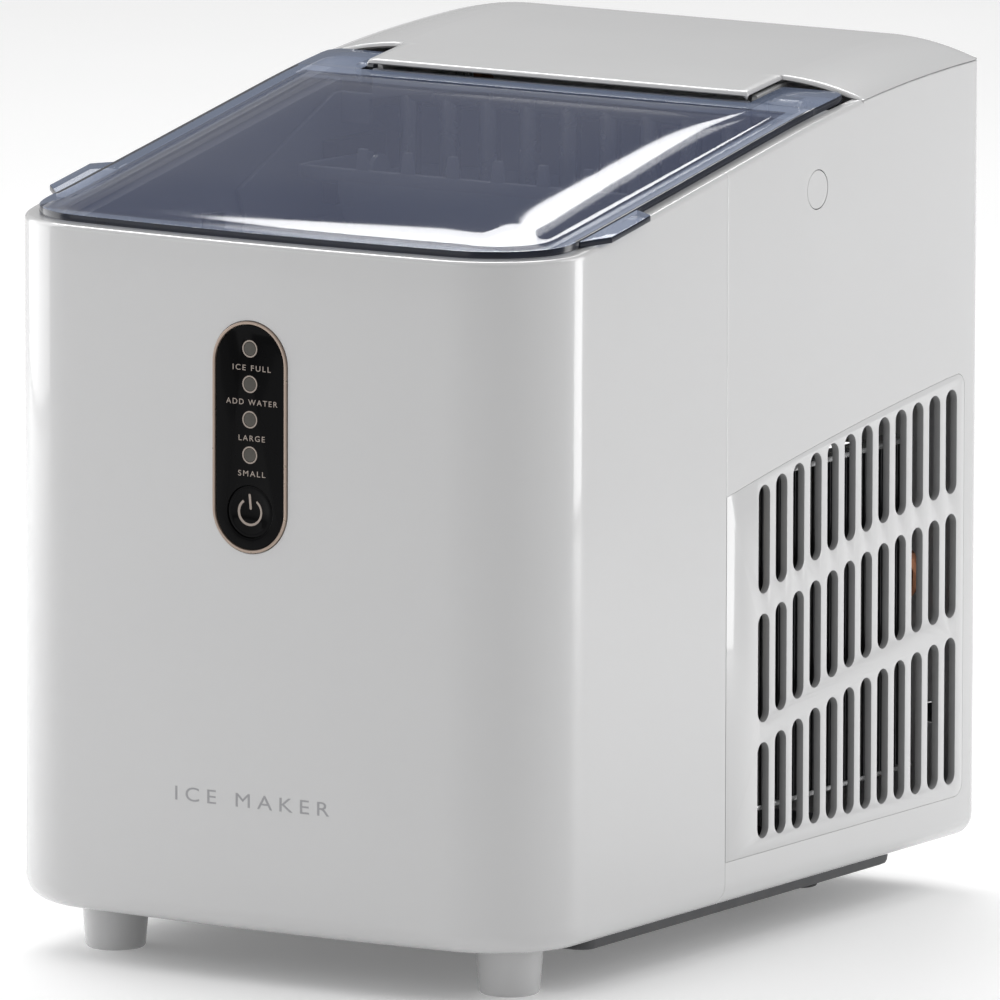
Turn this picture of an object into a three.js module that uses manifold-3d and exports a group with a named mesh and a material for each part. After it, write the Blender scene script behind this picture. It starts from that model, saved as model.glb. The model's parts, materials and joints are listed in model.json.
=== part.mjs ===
// Countertop ice maker: housing, tinted lid, control panel, ice-making chamber and cooling circuit.
// Millimetres, +Z up. The front faces -Y and the origin is the bottom centre of the whole machine.
import * as THREE from "three";
import { mergeVertices } from "three/addons/utils/BufferGeometryUtils.js";
import Module from "manifold-3d";

const wasm = await Module();
wasm.setup();

// ---- driving dimensions ----
const width = 222; // across the side walls
const depth = 303.6; // panel trim to back wall
const trimProud = 0.6; // how far the panel trim stands in front of the housing
const gap = 0.3; // assembly gap between neighbouring pieces
const wall = 2.6; // housing wall
const cornerFront = 35; // plan radius of the front corners
const cornerRear = 8; // plan radius of the rear corners
const frontBow = 5.9; // how far the middle of the front stands ahead of its corners
const footHeight = 18;
const seam = 130.6; // distance of the housing's seam behind the front

// top edge of the side walls, as height over distance behind the front
const edgeFront = 256.5;
const flatEnd = 34;
const slope = 0.1795;
const easeStart = 172;
const ease = 0.000625;

// rim under the lid
const rimWidth = 14;
const rimThick = 3;

// rear cover
const crown = 6.2;
const crownFlat = 74; // half width of the flat part of the crown
const tongueHalf = 78; // half width of the tongue between the lid's ears
const tongueFront = 197.2;
const earEdge = 220.6;

// lid
const lidInset = 5;
const lidThick = 2.7;
const lidRear = 196;
const earRear = 218.2;
const hingeAt = 213;
const hingeHeight = 285.5;
const pinRadius = 2;
const tabFront = 42;
const tabRear = 79;
const tabReach = 114;

// side grilles
const slotColumns = 12;
const slotPitch = 11.47;
const slotFirst = 151.7;
const slotWidth = 7.4;
const slotLength = 38;
const slotTop = 162.5;
const slotDrop = 44.7;
const slotFloor = 39;

// vents in the back wall
const ventMiddle = 38;
const ventHalfLength = 24;
const ventHalfTall = 2.4;

// control panel
const panelHeight = 190;
const trimWidth = 30;
const trimTall = 80;
const lensWidth = 26;
const lensTall = 76;
const buttonHeight = 164.3;
const buttonRadius = 9;
const lampHeights = [220.5, 208.3, 196.1, 183.9];

// ice chamber
const tankHalf = 94.2;
const tankWall = 2.2;
const tankFloor = 112;
const tankRear = 150;
const shelf = 205;
const chamberRear = 238;
const trayAxisAt = 200;
const trayAxisHeight = 252;
const trayRadius = 26;
const fingerCount = 9;
const fingerPitch = 16.5;

// cooling side
const fanAt = 215;
const fanHeight = 105;
const fanRadius = 46;
const compressorX = -48;
const compressorAt = 225;

// ---- finishes ----
const finish = (color, roughness, metalness = 0) =>
  new THREE.MeshStandardMaterial({ color, roughness, metalness });
const housingWhite = finish(0xd6d6d8, 0.28);
const tintedClear = finish(0x8d9bb5, 0.08);
const gloss = finish(0x0a0a0b, 0.1);
const roseTrim = finish(0xb9a594, 0.3, 0.6);
const linerGrey = finish(0xc3c9d2, 0.45);
const darkPlastic = finish(0x3b3c3f, 0.6);
const foam = finish(0xe6e2cf, 0.9);
const rubberBlack = finish(0x1b1b1c, 0.85);
const steel = finish(0xb8bbbf, 0.3, 0.9);
const blackPaint = finish(0x151516, 0.5, 0.3);
const copper = finish(0xb46a3c, 0.35, 0.9);
const aluminium = finish(0xa9acb0, 0.4, 0.9);
const boardGreen = finish(0x1f5a35, 0.6);
const smokedClear = finish(0x9fb0c6, 0.12);

// ---- solids ----
const machine = new THREE.Group();

const yAt = (behind) => behind - depth / 2;

function solidOf(geometry) {
  const bare = geometry.clone();
  bare.deleteAttribute("normal");
  bare.deleteAttribute("uv");
  const merged = mergeVertices(bare, 1e-4);
  const vertProperties = new Float32Array(merged.attributes.position.array);
  const triVerts = new Uint32Array(merged.index.array);
  return new wasm.Manifold(new wasm.Mesh({ numProp: 3, vertProperties, triVerts }));
}

function geometryOf(solid) {
  const mesh = solid.getMesh();
  const geometry = new THREE.BufferGeometry();
  geometry.setAttribute("position", new THREE.BufferAttribute(new Float32Array(mesh.vertProperties), 3));
  geometry.setIndex(new THREE.BufferAttribute(new Uint32Array(mesh.triVerts), 1));
  geometry.computeVertexNormals();
  return geometry;
}

function add(name, shape, material) {
  const geometry = shape.isBufferGeometry ? shape : geometryOf(shape);
  const mesh = new THREE.Mesh(geometry, material);
  mesh.name = name;
  machine.add(mesh);
  return mesh;
}

const joined = (solids) => solids.reduce((sum, solid) => sum.add(solid));

function extruded(points, length, xAxis, yAxis, zAxis, origin) {
  const shape = new THREE.Shape(points.map(([a, b]) => new THREE.Vector2(a, b)));
  const geometry = new THREE.ExtrudeGeometry(shape, { depth: length, bevelEnabled: false });
  geometry.applyMatrix4(new THREE.Matrix4().makeBasis(xAxis, yAxis, zAxis).setPosition(origin));
  return solidOf(geometry);
}

const axisX = new THREE.Vector3(1, 0, 0);
const axisY = new THREE.Vector3(0, 1, 0);
const axisZ = new THREE.Vector3(0, 0, 1);

// plan outline [x, y], raised from z0 to z1
function upright(points, z0, z1) {
  return extruded(points, z1 - z0, axisX, axisY, axisZ, new THREE.Vector3(0, 0, z0));
}

// side profile [distance behind the front, z], run across from x0 to x1
function across(points, x0, x1) {
  const profile = points.map(([behind, z]) => [yAt(behind), z]);
  return extruded(profile, x1 - x0, axisY, axisZ, axisX, new THREE.Vector3(x0, 0, 0));
}

// front profile [x, z], run back from one distance behind the front to another
function backward(points, from, to) {
  const origin = new THREE.Vector3(0, yAt(to), 0);
  return extruded(points, to - from, axisX, axisZ, axisY.clone().negate(), origin);
}

// box given by its x, distance-behind-the-front and z ranges
function block([x0, x1], [from, to], [z0, z1]) {
  const geometry = new THREE.BoxGeometry(x1 - x0, to - from, z1 - z0);
  return solidOf(geometry.translate((x0 + x1) / 2, yAt((from + to) / 2), (z0 + z1) / 2));
}

// round bar along "x", "y" or "z", centred at [x, distance behind the front, z]
function round(axis, radius, length, [x, behind, z], sides = 12, endRadius = radius) {
  const geometry = new THREE.CylinderGeometry(endRadius, radius, length, sides);
  if (axis === "x") geometry.rotateZ(-Math.PI / 2);
  if (axis === "z") geometry.rotateX(Math.PI / 2);
  return solidOf(geometry.translate(x, yAt(behind), z));
}

// turned body about a vertical axis; the profile lists [radius, z] from the bottom to the top
function turned(profile, x, behind, sides = 20) {
  const points = profile.map(([radius, z]) => new THREE.Vector2(radius, z));
  const geometry = new THREE.LatheGeometry(points, sides).rotateX(Math.PI / 2);
  return solidOf(geometry.translate(x, yAt(behind), 0));
}

function tube(stations, radius, sides = 8, steps = 24) {
  const points = stations.map(([x, behind, z]) => new THREE.Vector3(x, yAt(behind), z));
  const path = new THREE.CatmullRomCurve3(points, false, "centripetal");
  const section = new THREE.Shape();
  for (let i = 0; i < sides; i += 1) {
    const angle = (2 * Math.PI * i) / sides;
    const place = [radius * Math.cos(angle), radius * Math.sin(angle)];
    if (i === 0) section.moveTo(...place);
    else section.lineTo(...place);
  }
  const geometry = new THREE.ExtrudeGeometry(section, { steps, extrudePath: path, bevelEnabled: false });
  return solidOf(geometry);
}

function stadium(wide, tall, middleX, middleZ, arcSteps = 8) {
  const radius = wide / 2;
  const straight = tall / 2 - radius;
  const points = [];
  for (let i = 0; i <= arcSteps; i += 1) {
    const angle = (Math.PI * i) / arcSteps;
    points.push([middleX + radius * Math.cos(angle), middleZ + straight + radius * Math.sin(angle)]);
  }
  for (let i = 0; i <= arcSteps; i += 1) {
    const angle = Math.PI + (Math.PI * i) / arcSteps;
    points.push([middleX + radius * Math.cos(angle), middleZ - straight + radius * Math.sin(angle)]);
  }
  return points;
}

// ---- shapes shared by the housing pieces ----
function sideEdge(behind) {
  const risen = slope * (Math.max(behind, flatEnd) - flatEnd);
  const eased = Math.max(behind - easeStart, 0);
  return edgeFront + risen - ease * eased * eased;
}

// housing plan moved inwards by inset and cut off at a distance behind the front
function plan(inset, rear = depth - inset, rearRadius = 0) {
  const half = width / 2 - inset;
  const front = trimProud + inset;
  const radius = Math.max(cornerFront - inset, 1);
  const frontSteps = 6;
  const faceSteps = 4;
  const points = [];
  const push = (x, behind) => {
    const bow = frontBow * (x / half) ** 2 * Math.max(0, 1 - behind / seam);
    points.push([x, yAt(behind + bow)]);
  };
  const corner = (side, steps) => {
    for (let i = 0; i <= steps; i += 1) {
      const turn = ((side > 0 ? i : steps - i) / steps) * (Math.PI / 2);
      push(side * (half - radius + radius * Math.sin(turn)), front + radius - radius * Math.cos(turn));
    }
  };
  corner(-1, frontSteps);
  for (let i = 1; i < faceSteps; i += 1) {
    push((half - radius) * ((2 * i) / faceSteps - 1), front);
  }
  corner(1, frontSteps);
  if (rearRadius > 0) {
    for (const side of [1, -1]) {
      for (let i = 0; i <= 3; i += 1) {
        const turn = ((side > 0 ? i : 3 - i) / 3) * (Math.PI / 2);
        const x = side * (half - rearRadius + rearRadius * Math.cos(turn));
        push(x, rear - rearRadius + rearRadius * Math.sin(turn));
      }
    }
  } else {
    push(half, rear);
    push(-half, rear);
  }
  return points;
}

// everything below the side edge raised by a given amount
function underEdge(raise, from = -5, to = depth + 5, floor = 0) {
  const points = [[from, floor], [to, floor], [to, sideEdge(to) + raise]];
  for (const behind of [290, 270, 250, 230, 210, 190, easeStart, flatEnd]) {
    if (behind < to && behind > from) points.push([behind, sideEdge(behind) + raise]);
  }
  points.push([from, sideEdge(from) + raise]);
  return across(points, -200, 200);
}

// sheet that follows the side edge between two raises
function edgeSheet(low, high, from, to) {
  return underEdge(high, from, to).subtract(underEdge(low, from - 1, to + 1, -1));
}

// ---- housing ----
function housingBlank() {
  const outside = upright(plan(0, depth, cornerRear), footHeight, 330).intersect(underEdge(0));
  const hollow = upright(plan(wall, depth - wall, cornerRear - wall), 0, 330);
  const opening = upright(plan(rimWidth, depth - rimWidth), 0, 330);
  return outside.subtract(hollow.intersect(underEdge(-rimThick, -5, depth + 5, -5))).subtract(opening);
}

function frontShell(blank) {
  const half = blank.subtract(block([-200, 200], [seam - gap / 2, depth + 10], [0, 400]));
  const pocket = backward(stadium(trimWidth + 0.6, trimTall + 0.6, 0, panelHeight), -5, 2.1);
  const window = backward(stadium(lensWidth + 0.6, lensTall + 0.6, 0, panelHeight), -5, 10);
  return half.subtract(pocket).subtract(window);
}

function grilleSlots() {
  const slots = [];
  for (let column = 0; column < slotColumns; column += 1) {
    const along = column * slotPitch;
    const middle = yAt(slotFirst + along + slotWidth / 2);
    const top = slotTop + 0.2126 * along - 0.000636 * along * along;
    for (let row = 0; row < 3; row += 1) {
      const high = top - row * slotDrop;
      const low = row < 2 ? high - slotLength : slotFloor;
      const outline = stadium(slotWidth, high - low, middle, (high + low) / 2, 3);
      const origin = new THREE.Vector3(-120, 0, 0);
      slots.push(extruded(outline, 240, axisY, axisZ, axisX, origin));
    }
  }
  return joined(slots);
}

function backVents() {
  const vents = [];
  for (const side of [-1, 1]) {
    for (let row = 0; row < 7; row += 1) {
      const z = 96 + row * 11;
      const [left, right] = [side * ventMiddle - ventHalfLength, side * ventMiddle + ventHalfLength];
      const [low, high] = [z - ventHalfTall, z + ventHalfTall];
      const slot = [[left, low], [right, low], [right, high], [left, high]];
      vents.push(backward(slot, 290, 320));
    }
  }
  return joined(vents);
}

const screwPlaces = [[-92, 60], [92, 60], [-92, 250], [92, 250]];
const inletX = 66;
const inletZ = 52;

function rearShell(blank) {
  const rimEnd = 205;
  const openTop = upright(plan(wall, depth - wall, cornerRear - wall), 0, 400);
  const backTop = sideEdge(depth) - gap;
  let shell = blank.subtract(block([-200, 200], [-10, seam + gap / 2], [0, 400]));
  shell = shell.subtract(openTop.intersect(block([-200, 200], [rimEnd, depth + 5], [0, 400])));
  shell = shell.subtract(block([-200, 200], [earEdge, depth + 5], [backTop, 400]));
  shell = shell.subtract(edgeSheet(-gap, 5, earEdge, depth + 5));
  shell = shell.subtract(grilleSlots()).subtract(backVents());
  shell = shell.subtract(round("x", 7, 300, [0, 190, 261], 16));
  for (const [x, z] of screwPlaces) {
    shell = shell.subtract(round("y", 3.8, 20, [x, depth, z], 10));
  }
  const inletWide = [inletX - 14.3, inletX + 14.3];
  const inletTall = [inletZ - 12.3, inletZ + 12.3];
  return shell.subtract(block(inletWide, [depth - 10, depth + 5], inletTall));
}

function crownHeight(x) {
  const shoulder = Math.max(0, Math.abs(x) - crownFlat) / (width / 2 - crownFlat);
  return crown * (1 - shoulder * shoulder);
}

// crown section run along the cover and lifted onto the side edge at every station
function crownSolid(drop, half, from, to) {
  const stations = 9;
  const points = [[half, -0.001 - drop], [half, crownHeight(half) - drop]];
  for (const x of [104, 96, 86, crownFlat]) if (x < half) points.push([x, crownHeight(x) - drop]);
  const mirrored = points.slice(1).reverse().map(([x, z]) => [-x, z]);
  const outline = [...points, ...mirrored, [-half, -0.001 - drop]];
  const shape = new THREE.Shape(outline.map(([x, z]) => new THREE.Vector2(x, z)));
  const geometry = new THREE.ExtrudeGeometry(shape, { depth: to - from, steps: stations, bevelEnabled: false });
  const basis = new THREE.Matrix4().makeBasis(axisX, axisZ, axisY.clone().negate());
  geometry.applyMatrix4(basis.setPosition(0, yAt(to), 0));
  const position = geometry.attributes.position;
  for (let i = 0; i < position.count; i += 1) {
    position.setZ(i, position.getZ(i) + sideEdge(position.getY(i) + depth / 2));
  }
  return solidOf(geometry);
}

function topCover() {
  const inside = 102;
  const cover = crownSolid(0, width / 2, tongueFront, depth);
  const hollow = crownSolid(wall, inside, tongueFront - 5, depth - wall);
  const footprint = upright(plan(0, depth, cornerRear), 0, 400);
  let body = cover.subtract(hollow).intersect(footprint);
  for (const side of [-1, 1]) {
    const low = side > 0 ? tongueHalf : -200;
    const high = side > 0 ? 200 : -tongueHalf;
    body = body.subtract(block([low, high], [tongueFront - 5, earEdge], [0, 400]));
    const inner = side * (tongueHalf - wall);
    const cheekX = [Math.min(inner, side * tongueHalf), Math.max(inner, side * tongueHalf)];
    body = body.add(across([[204, 280], [224, 280], [224, 292.5], [204, 290.5]], ...cheekX));
  }
  return body;
}

// ---- lid and hinge ----
function lid() {
  const behindTongue = block([-tongueHalf - 1, tongueHalf + 1], [lidRear, earRear + 5], [0, 400]);
  const flange = upright(plan(lidInset, earRear), 0, 400);
  let body = edgeSheet(gap, gap + lidThick, -5, earRear).intersect(flange);
  for (const [inset, rise] of [[14, 5.5], [25, 8], [40, 9.6]]) {
    const raised = edgeSheet(gap + 1, rise, 0, lidRear).intersect(upright(plan(inset, lidRear), 0, 400));
    body = body.add(raised);
  }
  for (const [inset, rise] of [[16.5, 3.2], [27.5, 5.7], [42.5, 7.3]]) {
    const room = upright(plan(inset, lidRear - 2.4), 0, 400);
    body = body.subtract(underEdge(rise, 0, lidRear - 2.4).intersect(room));
  }
  body = body.subtract(behindTongue);
  for (const side of [-1, 1]) {
    const reach = side > 0 ? [104, tabReach] : [-tabReach, -104];
    const tab = edgeSheet(gap, gap + 2.4, tabFront, tabRear).intersect(block(reach, [0, 200], [0, 400]));
    const knuckle = round("x", 5, 10.5, [side * 84.8, hingeAt, hingeHeight], 12);
    body = body.add(tab).add(knuckle);
  }
  const bore = (pinRadius + gap) / Math.cos(Math.PI / 12);
  return body.subtract(round("x", bore, 300, [0, hingeAt, hingeHeight], 12));
}

function hingePins() {
  for (const [name, side] of [["lid_hinge_pin_left", -1], ["lid_hinge_pin_right", 1]]) {
    const middle = side * (tongueHalf + gap + 6.5);
    add(name, round("x", pinRadius, 13, [middle, hingeAt, hingeHeight], 12), steel);
  }
}

// ---- control panel ----
function controlPanel() {
  const outer = backward(stadium(trimWidth, trimTall, 0, panelHeight), 0, 1.8);
  const inner = backward(stadium(lensWidth + 0.6, lensTall + 0.6, 0, panelHeight), -1, 5);
  add("panel_trim", outer.subtract(inner), roseTrim);

  const face = backward(stadium(lensWidth, lensTall, 0, panelHeight), 0.5, 4);
  const hole = round("y", buttonRadius + gap, 20, [0, 2, buttonHeight], 20);
  add("panel_lens", face.subtract(hole), gloss);

  const key = round("y", buttonRadius, 5.2, [0, 3.4, buttonHeight], 20);
  const dish = new THREE.SphereGeometry(24, 24, 16).translate(0, yAt(0.8 - 22.7), buttonHeight);
  add("power_button", key.subtract(solidOf(dish)), gloss);

  const plate = block([-8, 8], [4.3, 5.3], [178, 226]);
  const pillars = lampHeights.map((z) => round("y", 2.6, 4.8, [0, 7.4, z], 10));
  add("light_guide", joined([plate, ...pillars]), smokedClear);

  const board = block([-12.5, 12.5], [10.3, 11.9], [152, 228]);
  add("display_board", board, boardGreen);
  add("button_switch", block([-4, 4], [7.2, 10], [buttonHeight - 4, buttonHeight + 4]), darkPlastic);
}

// ---- feet and base ----
function feet() {
  const corners = [["front_foot_left", -80.3, 39.7], ["front_foot_right", 80.3, 39.7]];
  for (const [name, x, behind] of corners) {
    const profile = [[0, 0], [10.1, 0], [10.7, 0.8], [12, footHeight], [0, footHeight]];
    add(name, turned(profile, x, behind), housingWhite);
  }
  for (const [name, x] of [["rear_foot_left", -30], ["rear_foot_right", 30]]) {
    const profile = [[0, 0], [8.4, 0], [9.4, 1], [9.8, footHeight], [0, footHeight]];
    add(name, turned(profile, x, 276, 16), rubberBlack);
  }
}

function basePan() {
  const plateLow = footHeight + gap;
  const plate = upright(plan(wall + gap, depth - wall - gap, 5), plateLow, 21);
  const sump = block([-101, 101], [57, 262], [13, plateLow + 1]);
  let pan = plate.add(sump).subtract(block([-98.5, 98.5], [59.5, 259.5], [15.5, 40]));
  for (let i = 0; i < 5; i += 1) {
    pan = pan.subtract(block([-30, 30], [90 + 10 * i, 94 + 10 * i], [0, 40]));
  }
  return pan.subtract(round("z", 4, 20, [88, 218, 13], 12));
}

function drainPlug() {
  const cap = round("z", 6.5, 2.4, [88, 218, 11.5], 12);
  const stem = round("z", 3.6, 5, [88, 218, 13.6], 12);
  return cap.add(stem);
}

// ---- ice chamber ----
function innerTank() {
  const inset = width / 2 - tankHalf;
  const low = tankFloor;
  const outerSide = across([
    [0, low], [tankRear, low], [tankRear, shelf], [chamberRear, shelf],
    [chamberRear, 270], [203, 270], [203, 400], [0, 400],
  ], -200, 200);
  const t = tankWall;
  const innerSide = across([
    [0, low + t], [tankRear - t, low + t], [tankRear - t, shelf + t],
    [chamberRear - t, shelf + t], [chamberRear - t, 400], [0, 400],
  ], -200, 200);
  const underRim = underEdge(-rimThick - gap);
  const body = upright(plan(inset, chamberRear), 0, 400).intersect(outerSide).intersect(underRim);
  const flange = upright(plan(10, 200), 0, 400).intersect(edgeSheet(-6.2, -rimThick - gap, 0, 200));
  const hollow = upright(plan(inset + t, chamberRear - t), 0, 400).intersect(innerSide);
  return body.add(flange).subtract(hollow);
}

function tankInsulation() {
  const jacket = upright(plan(13, 156), 96, shelf - 1);
  const room = upright(plan(width / 2 - tankHalf - gap, tankRear + gap), tankFloor - gap, 400);
  return jacket.subtract(room);
}

function evaporatorShroud() {
  const cheek = [
    [195, 279], [133, 252], [137, 242], [137, 236], [230, 236], [230, 262], [203, 279],
  ];
  const archHalf = 78;
  const arch = [[-90.5, 279], [-90.5, 268], [-archHalf, 268], [-archHalf, 277]];
  for (let i = 1; i < 8; i += 1) {
    const x = -archHalf + (2 * archHalf * i) / 8;
    arch.push([x, 277 + 7.3 * (1 - (x / archHalf) ** 2)]);
  }
  arch.push([archHalf, 277], [archHalf, 268], [90.5, 268], [90.5, 279], [77, 279], [77, 288], [-77, 288], [-77, 279]);
  const face = backward(arch.reverse(), 199, 201.4);
  return joined([face, across(cheek, -91.6, -89.6), across(cheek, 89.6, 91.6)]);
}

function evaporator() {
  const height = 280;
  const row = trayAxisAt + 6.8;
  const reach = 69.5;
  const run = [
    [-reach, 248, height], [-reach, 232, height], [-reach, 212, height], [-reach + 8, row, height],
    [0, row, height], [reach - 8, row, height], [reach, 212, height], [reach, 232, height],
    [reach, 248, height],
  ];
  const pipe = tube(run, 4, 8, 20);
  const fingers = [];
  for (let i = 0; i < fingerCount; i += 1) {
    const x = (i - (fingerCount - 1) / 2) * fingerPitch;
    fingers.push(turned([[0, 238], [2.6, 239], [4, 243], [4, 279], [0, 279]], x, row, 8));
  }
  return joined([pipe, ...fingers]);
}

function halfTrough(radius, half, low) {
  const points = [];
  for (let i = 0; i <= 10; i += 1) {
    const angle = Math.PI + (Math.PI * i) / 10;
    points.push([trayAxisAt + radius * Math.cos(angle), trayAxisHeight + radius * Math.sin(angle)]);
  }
  points[0][1] += low;
  points[points.length - 1][1] += low;
  return across(points, -half, half);
}

function waterTray() {
  const end = 75.5;
  let tray = halfTrough(trayRadius, end, 0).subtract(halfTrough(trayRadius - 2, end - 2, 5));
  for (const side of [-1, 1]) {
    tray = tray.add(round("x", 6, 1.9, [side * (end - 0.95), trayAxisAt, trayAxisHeight], 10));
    tray = tray.add(round("x", 3, 7.5, [side * (end + 3.6), trayAxisAt, trayAxisHeight], 10));
  }
  return tray;
}

function icePusher() {
  const half = 81;
  const arm = [
    [157, 259], [157, 254], [162, 253], [196, 246], [204, 246],
    [206, 252], [204, 258], [196, 258], [164, 259],
  ];
  const pieces = [block([-half, half], [158, 161], [254, 258.5])];
  for (const side of [-1, 1]) {
    pieces.push(across(arm, Math.min(side * 79.2, side * half), Math.max(side * 79.2, side * half)));
  }
  for (let i = -3; i <= 3; i += 1) {
    pieces.push(block([i * 18.5 - 2, i * 18.5 + 2], [158.4, 160.6], [258, 266]));
  }
  return joined(pieces).subtract(round("x", 3.6, 300, [0, trayAxisAt, trayAxisHeight], 10));
}

function trayDrive() {
  const height = [trayAxisHeight - 11, trayAxisHeight + 11];
  add("tray_motor", block([-89.3, -83.3], [trayAxisAt - 14, trayAxisAt + 18], height), darkPlastic);
  add("tray_bearing", block([83.3, 89.3], [trayAxisAt - 9, trayAxisAt + 9], height), darkPlastic);
}

const basketTop = 238;
const basketFloor = 138;

function iceBasket() {
  const outer = upright(plan(25, 144), basketFloor, basketTop);
  const inner = upright(plan(27, 142), basketFloor + 2, basketTop + 10);
  let basket = outer.subtract(inner);
  for (let i = -3; i <= 3; i += 1) {
    const x = i * 18.5;
    basket = basket.subtract(block([x - 2.5, x + 2.5], [80, 160], [158, 226]));
    basket = basket.subtract(block([x - 2.5, x + 2.5], [60, 112], [100, 160]));
  }
  for (const side of [-1, 1]) {
    for (const behind of [48, 126]) {
      const legX = [side * 70 - 5, side * 70 + 5];
      basket = basket.add(block(legX, [behind, behind + 10], [tankFloor + tankWall + gap, basketFloor + 1]));
    }
  }
  return basket;
}

function iceSensors() {
  for (const [name, side] of [["ice_sensor_emitter", -1], ["ice_sensor_receiver", 1]]) {
    const x = [Math.min(side * 88, side * 91.6), Math.max(side * 88, side * 91.6)];
    add(name, block(x, [112, 121], [238, 246]), darkPlastic);
  }
}

// ---- water circuit ----
function waterPump() {
  const body = round("z", 15, 26, [30, 176, 33], 16);
  const spout = round("z", 4, 10, [30, 176, 50], 8);
  add("water_pump", body.add(spout), darkPlastic);
  const hose = [[30, 176, 56], [30, 179, 100], [30, 179, 160], [30, 176, 204]];
  add("pump_hose", tube(hose, 4, 8, 8), smokedClear);
}

// ---- cooling circuit ----
function compressor() {
  const shell = [[0, 30], [30, 30], [42, 38], [44, 50], [44, 122], [41, 138], [28, 148], [0, 152]];
  add("compressor", turned(shell, compressorX, compressorAt, 24), blackPaint);
  const baseWide = [compressorX - 50, compressorX + 50];
  const base = block(baseWide, [compressorAt - 42, compressorAt + 30], [27.2, 29.7]);
  add("compressor_base", base, blackPaint);
  const corners = [[-1, -36], [1, -36], [-1, 24], [1, 24]];
  corners.forEach(([side, along], i) => {
    const profile = [[0, 15.9], [8, 15.9], [8, 19], [6, 21.5], [8, 24], [8, 26.9], [0, 26.9]];
    const grommet = turned(profile, compressorX + side * 42, compressorAt + along, 12);
    add(`compressor_grommet_${i + 1}`, grommet, rubberBlack);
  });
  const cover = block([-102, -92.4], [compressorAt - 12, compressorAt + 12], [84, 112]);
  add("terminal_cover", cover, darkPlastic);
}

function condenser() {
  const core = block([94, 102], [164, 268], [48, 162]);
  const top = block([93, 103], [160, 270], [162, 164]);
  const bottom = block([93, 103], [160, 270], [46, 48]);
  let coil = joined([core, top, bottom]);
  for (let i = 0; i < 24; i += 1) {
    const from = 166.5 + i * 4.2;
    coil = coil.subtract(block([100, 104], [from, from + 2.4], [49, 161]));
  }
  return coil;
}

function fanFrame() {
  const frame = block([68, 92.4], [163, 267], [53, 157]);
  const bore = round("x", fanRadius + 3, 60, [80, fanAt, fanHeight], 28);
  const hub = round("x", 17, 2.5, [69.25, fanAt, fanHeight], 16);
  const struts = [0, 1, 2].map((i) => {
    const strut = new THREE.BoxGeometry(2.5, 6, 104).rotateX((i * Math.PI) / 3);
    return solidOf(strut.translate(69.25, yAt(fanAt), fanHeight));
  });
  const reach = round("x", fanRadius + 4, 10, [70, fanAt, fanHeight], 28);
  const spider = joined([hub, ...struts]).intersect(reach);
  const shaftHole = round("x", 2.8, 60, [70, fanAt, fanHeight], 10);
  return frame.subtract(bore).add(spider).subtract(shaftHole);
}

function fan() {
  const hub = round("x", 15, 14, [79.5, fanAt, fanHeight], 16);
  const blades = [];
  const bladeCount = 7;
  for (let i = 0; i < bladeCount; i += 1) {
    const blade = new THREE.BoxGeometry(1.6, 20, fanRadius - 12);
    blade.rotateZ(0.75).translate(79.5, 0, (fanRadius + 12) / 2);
    blade.rotateX((2 * Math.PI * i) / bladeCount);
    blades.push(solidOf(blade.translate(0, yAt(fanAt), fanHeight)));
  }
  const sweep = round("x", fanRadius, 40, [79.5, fanAt, fanHeight], 32);
  return joined([hub, ...blades]).intersect(sweep);
}

function fanMotor() {
  const can = round("x", 17, 18, [58.5, fanAt, fanHeight], 16);
  const shaft = round("x", 2, 6, [69, fanAt, fanHeight], 10);
  return can.add(shaft);
}

function refrigerantLine() {
  const drier = [[0, 96], [2.5, 97], [8, 104], [8, 142], [2.5, 150], [0, 151]];
  add("filter_drier", turned(drier, 18, 286, 12), copper);
  const valve = joined([round("z", 10, 22, [22, 258, 131], 14), block([16, 28], [252, 264], [112, 121])]);
  add("hot_gas_valve", valve, steel);
  const discharge = [[-48, 225, 154], [-46, 228, 170], [-20, 240, 176], [22, 258, 172], [22, 258, 142.6]];
  add("discharge_tube", tube(discharge, 2.6, 8, 16), copper);
  const supply = [
    [22, 258, 111.5], [24, 258, 100], [44, 272, 90], [80, 280, 96],
    [97, 280, 110], [97, 276, 120], [97, 270.6, 120],
  ];
  add("condenser_tube", tube(supply, 2.6, 8, 20), copper);
  const suction = [
    [-69.5, 248.8, 280], [-69.5, 262, 278], [-74, 268, 250], [-60, 262, 190],
    [-50, 240, 180], [-70, 236, 166], [-70, 233, 151],
  ];
  add("suction_tube", tube(suction, 3, 8, 24), copper);
  const liquid = [[18, 286, 152], [20, 286, 190], [50, 276, 240], [69.5, 262, 276], [69.5, 248.8, 280]];
  add("liquid_tube", tube(liquid, 1.8, 8, 16), copper);
}

// ---- electrics and fasteners ----
function electrics() {
  const parts = [block([-60, 44], [158, 159.6], [112, 196]), block([-50, -22], [159, 176], [150, 186]),
    block([-10, 12], [159, 172], [160, 184]), block([22, 36], [159, 168], [120, 150])];
  add("control_board", joined(parts), boardGreen);
  const socket = block([inletX - 14, inletX + 14], [284, depth - 0.3], [inletZ - 12, inletZ + 12]);
  const recess = block([inletX - 10, inletX + 10], [290, depth + 5], [inletZ - 8, inletZ + 8]);
  const pinTall = [inletZ - 2.5, inletZ + 2.5];
  const pins = [-6, 0, 6].map((x) => block([inletX + x - 1, inletX + x + 1], [289, 298], pinTall));
  add("power_inlet", joined([socket.subtract(recess), ...pins]), rubberBlack);
}

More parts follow.
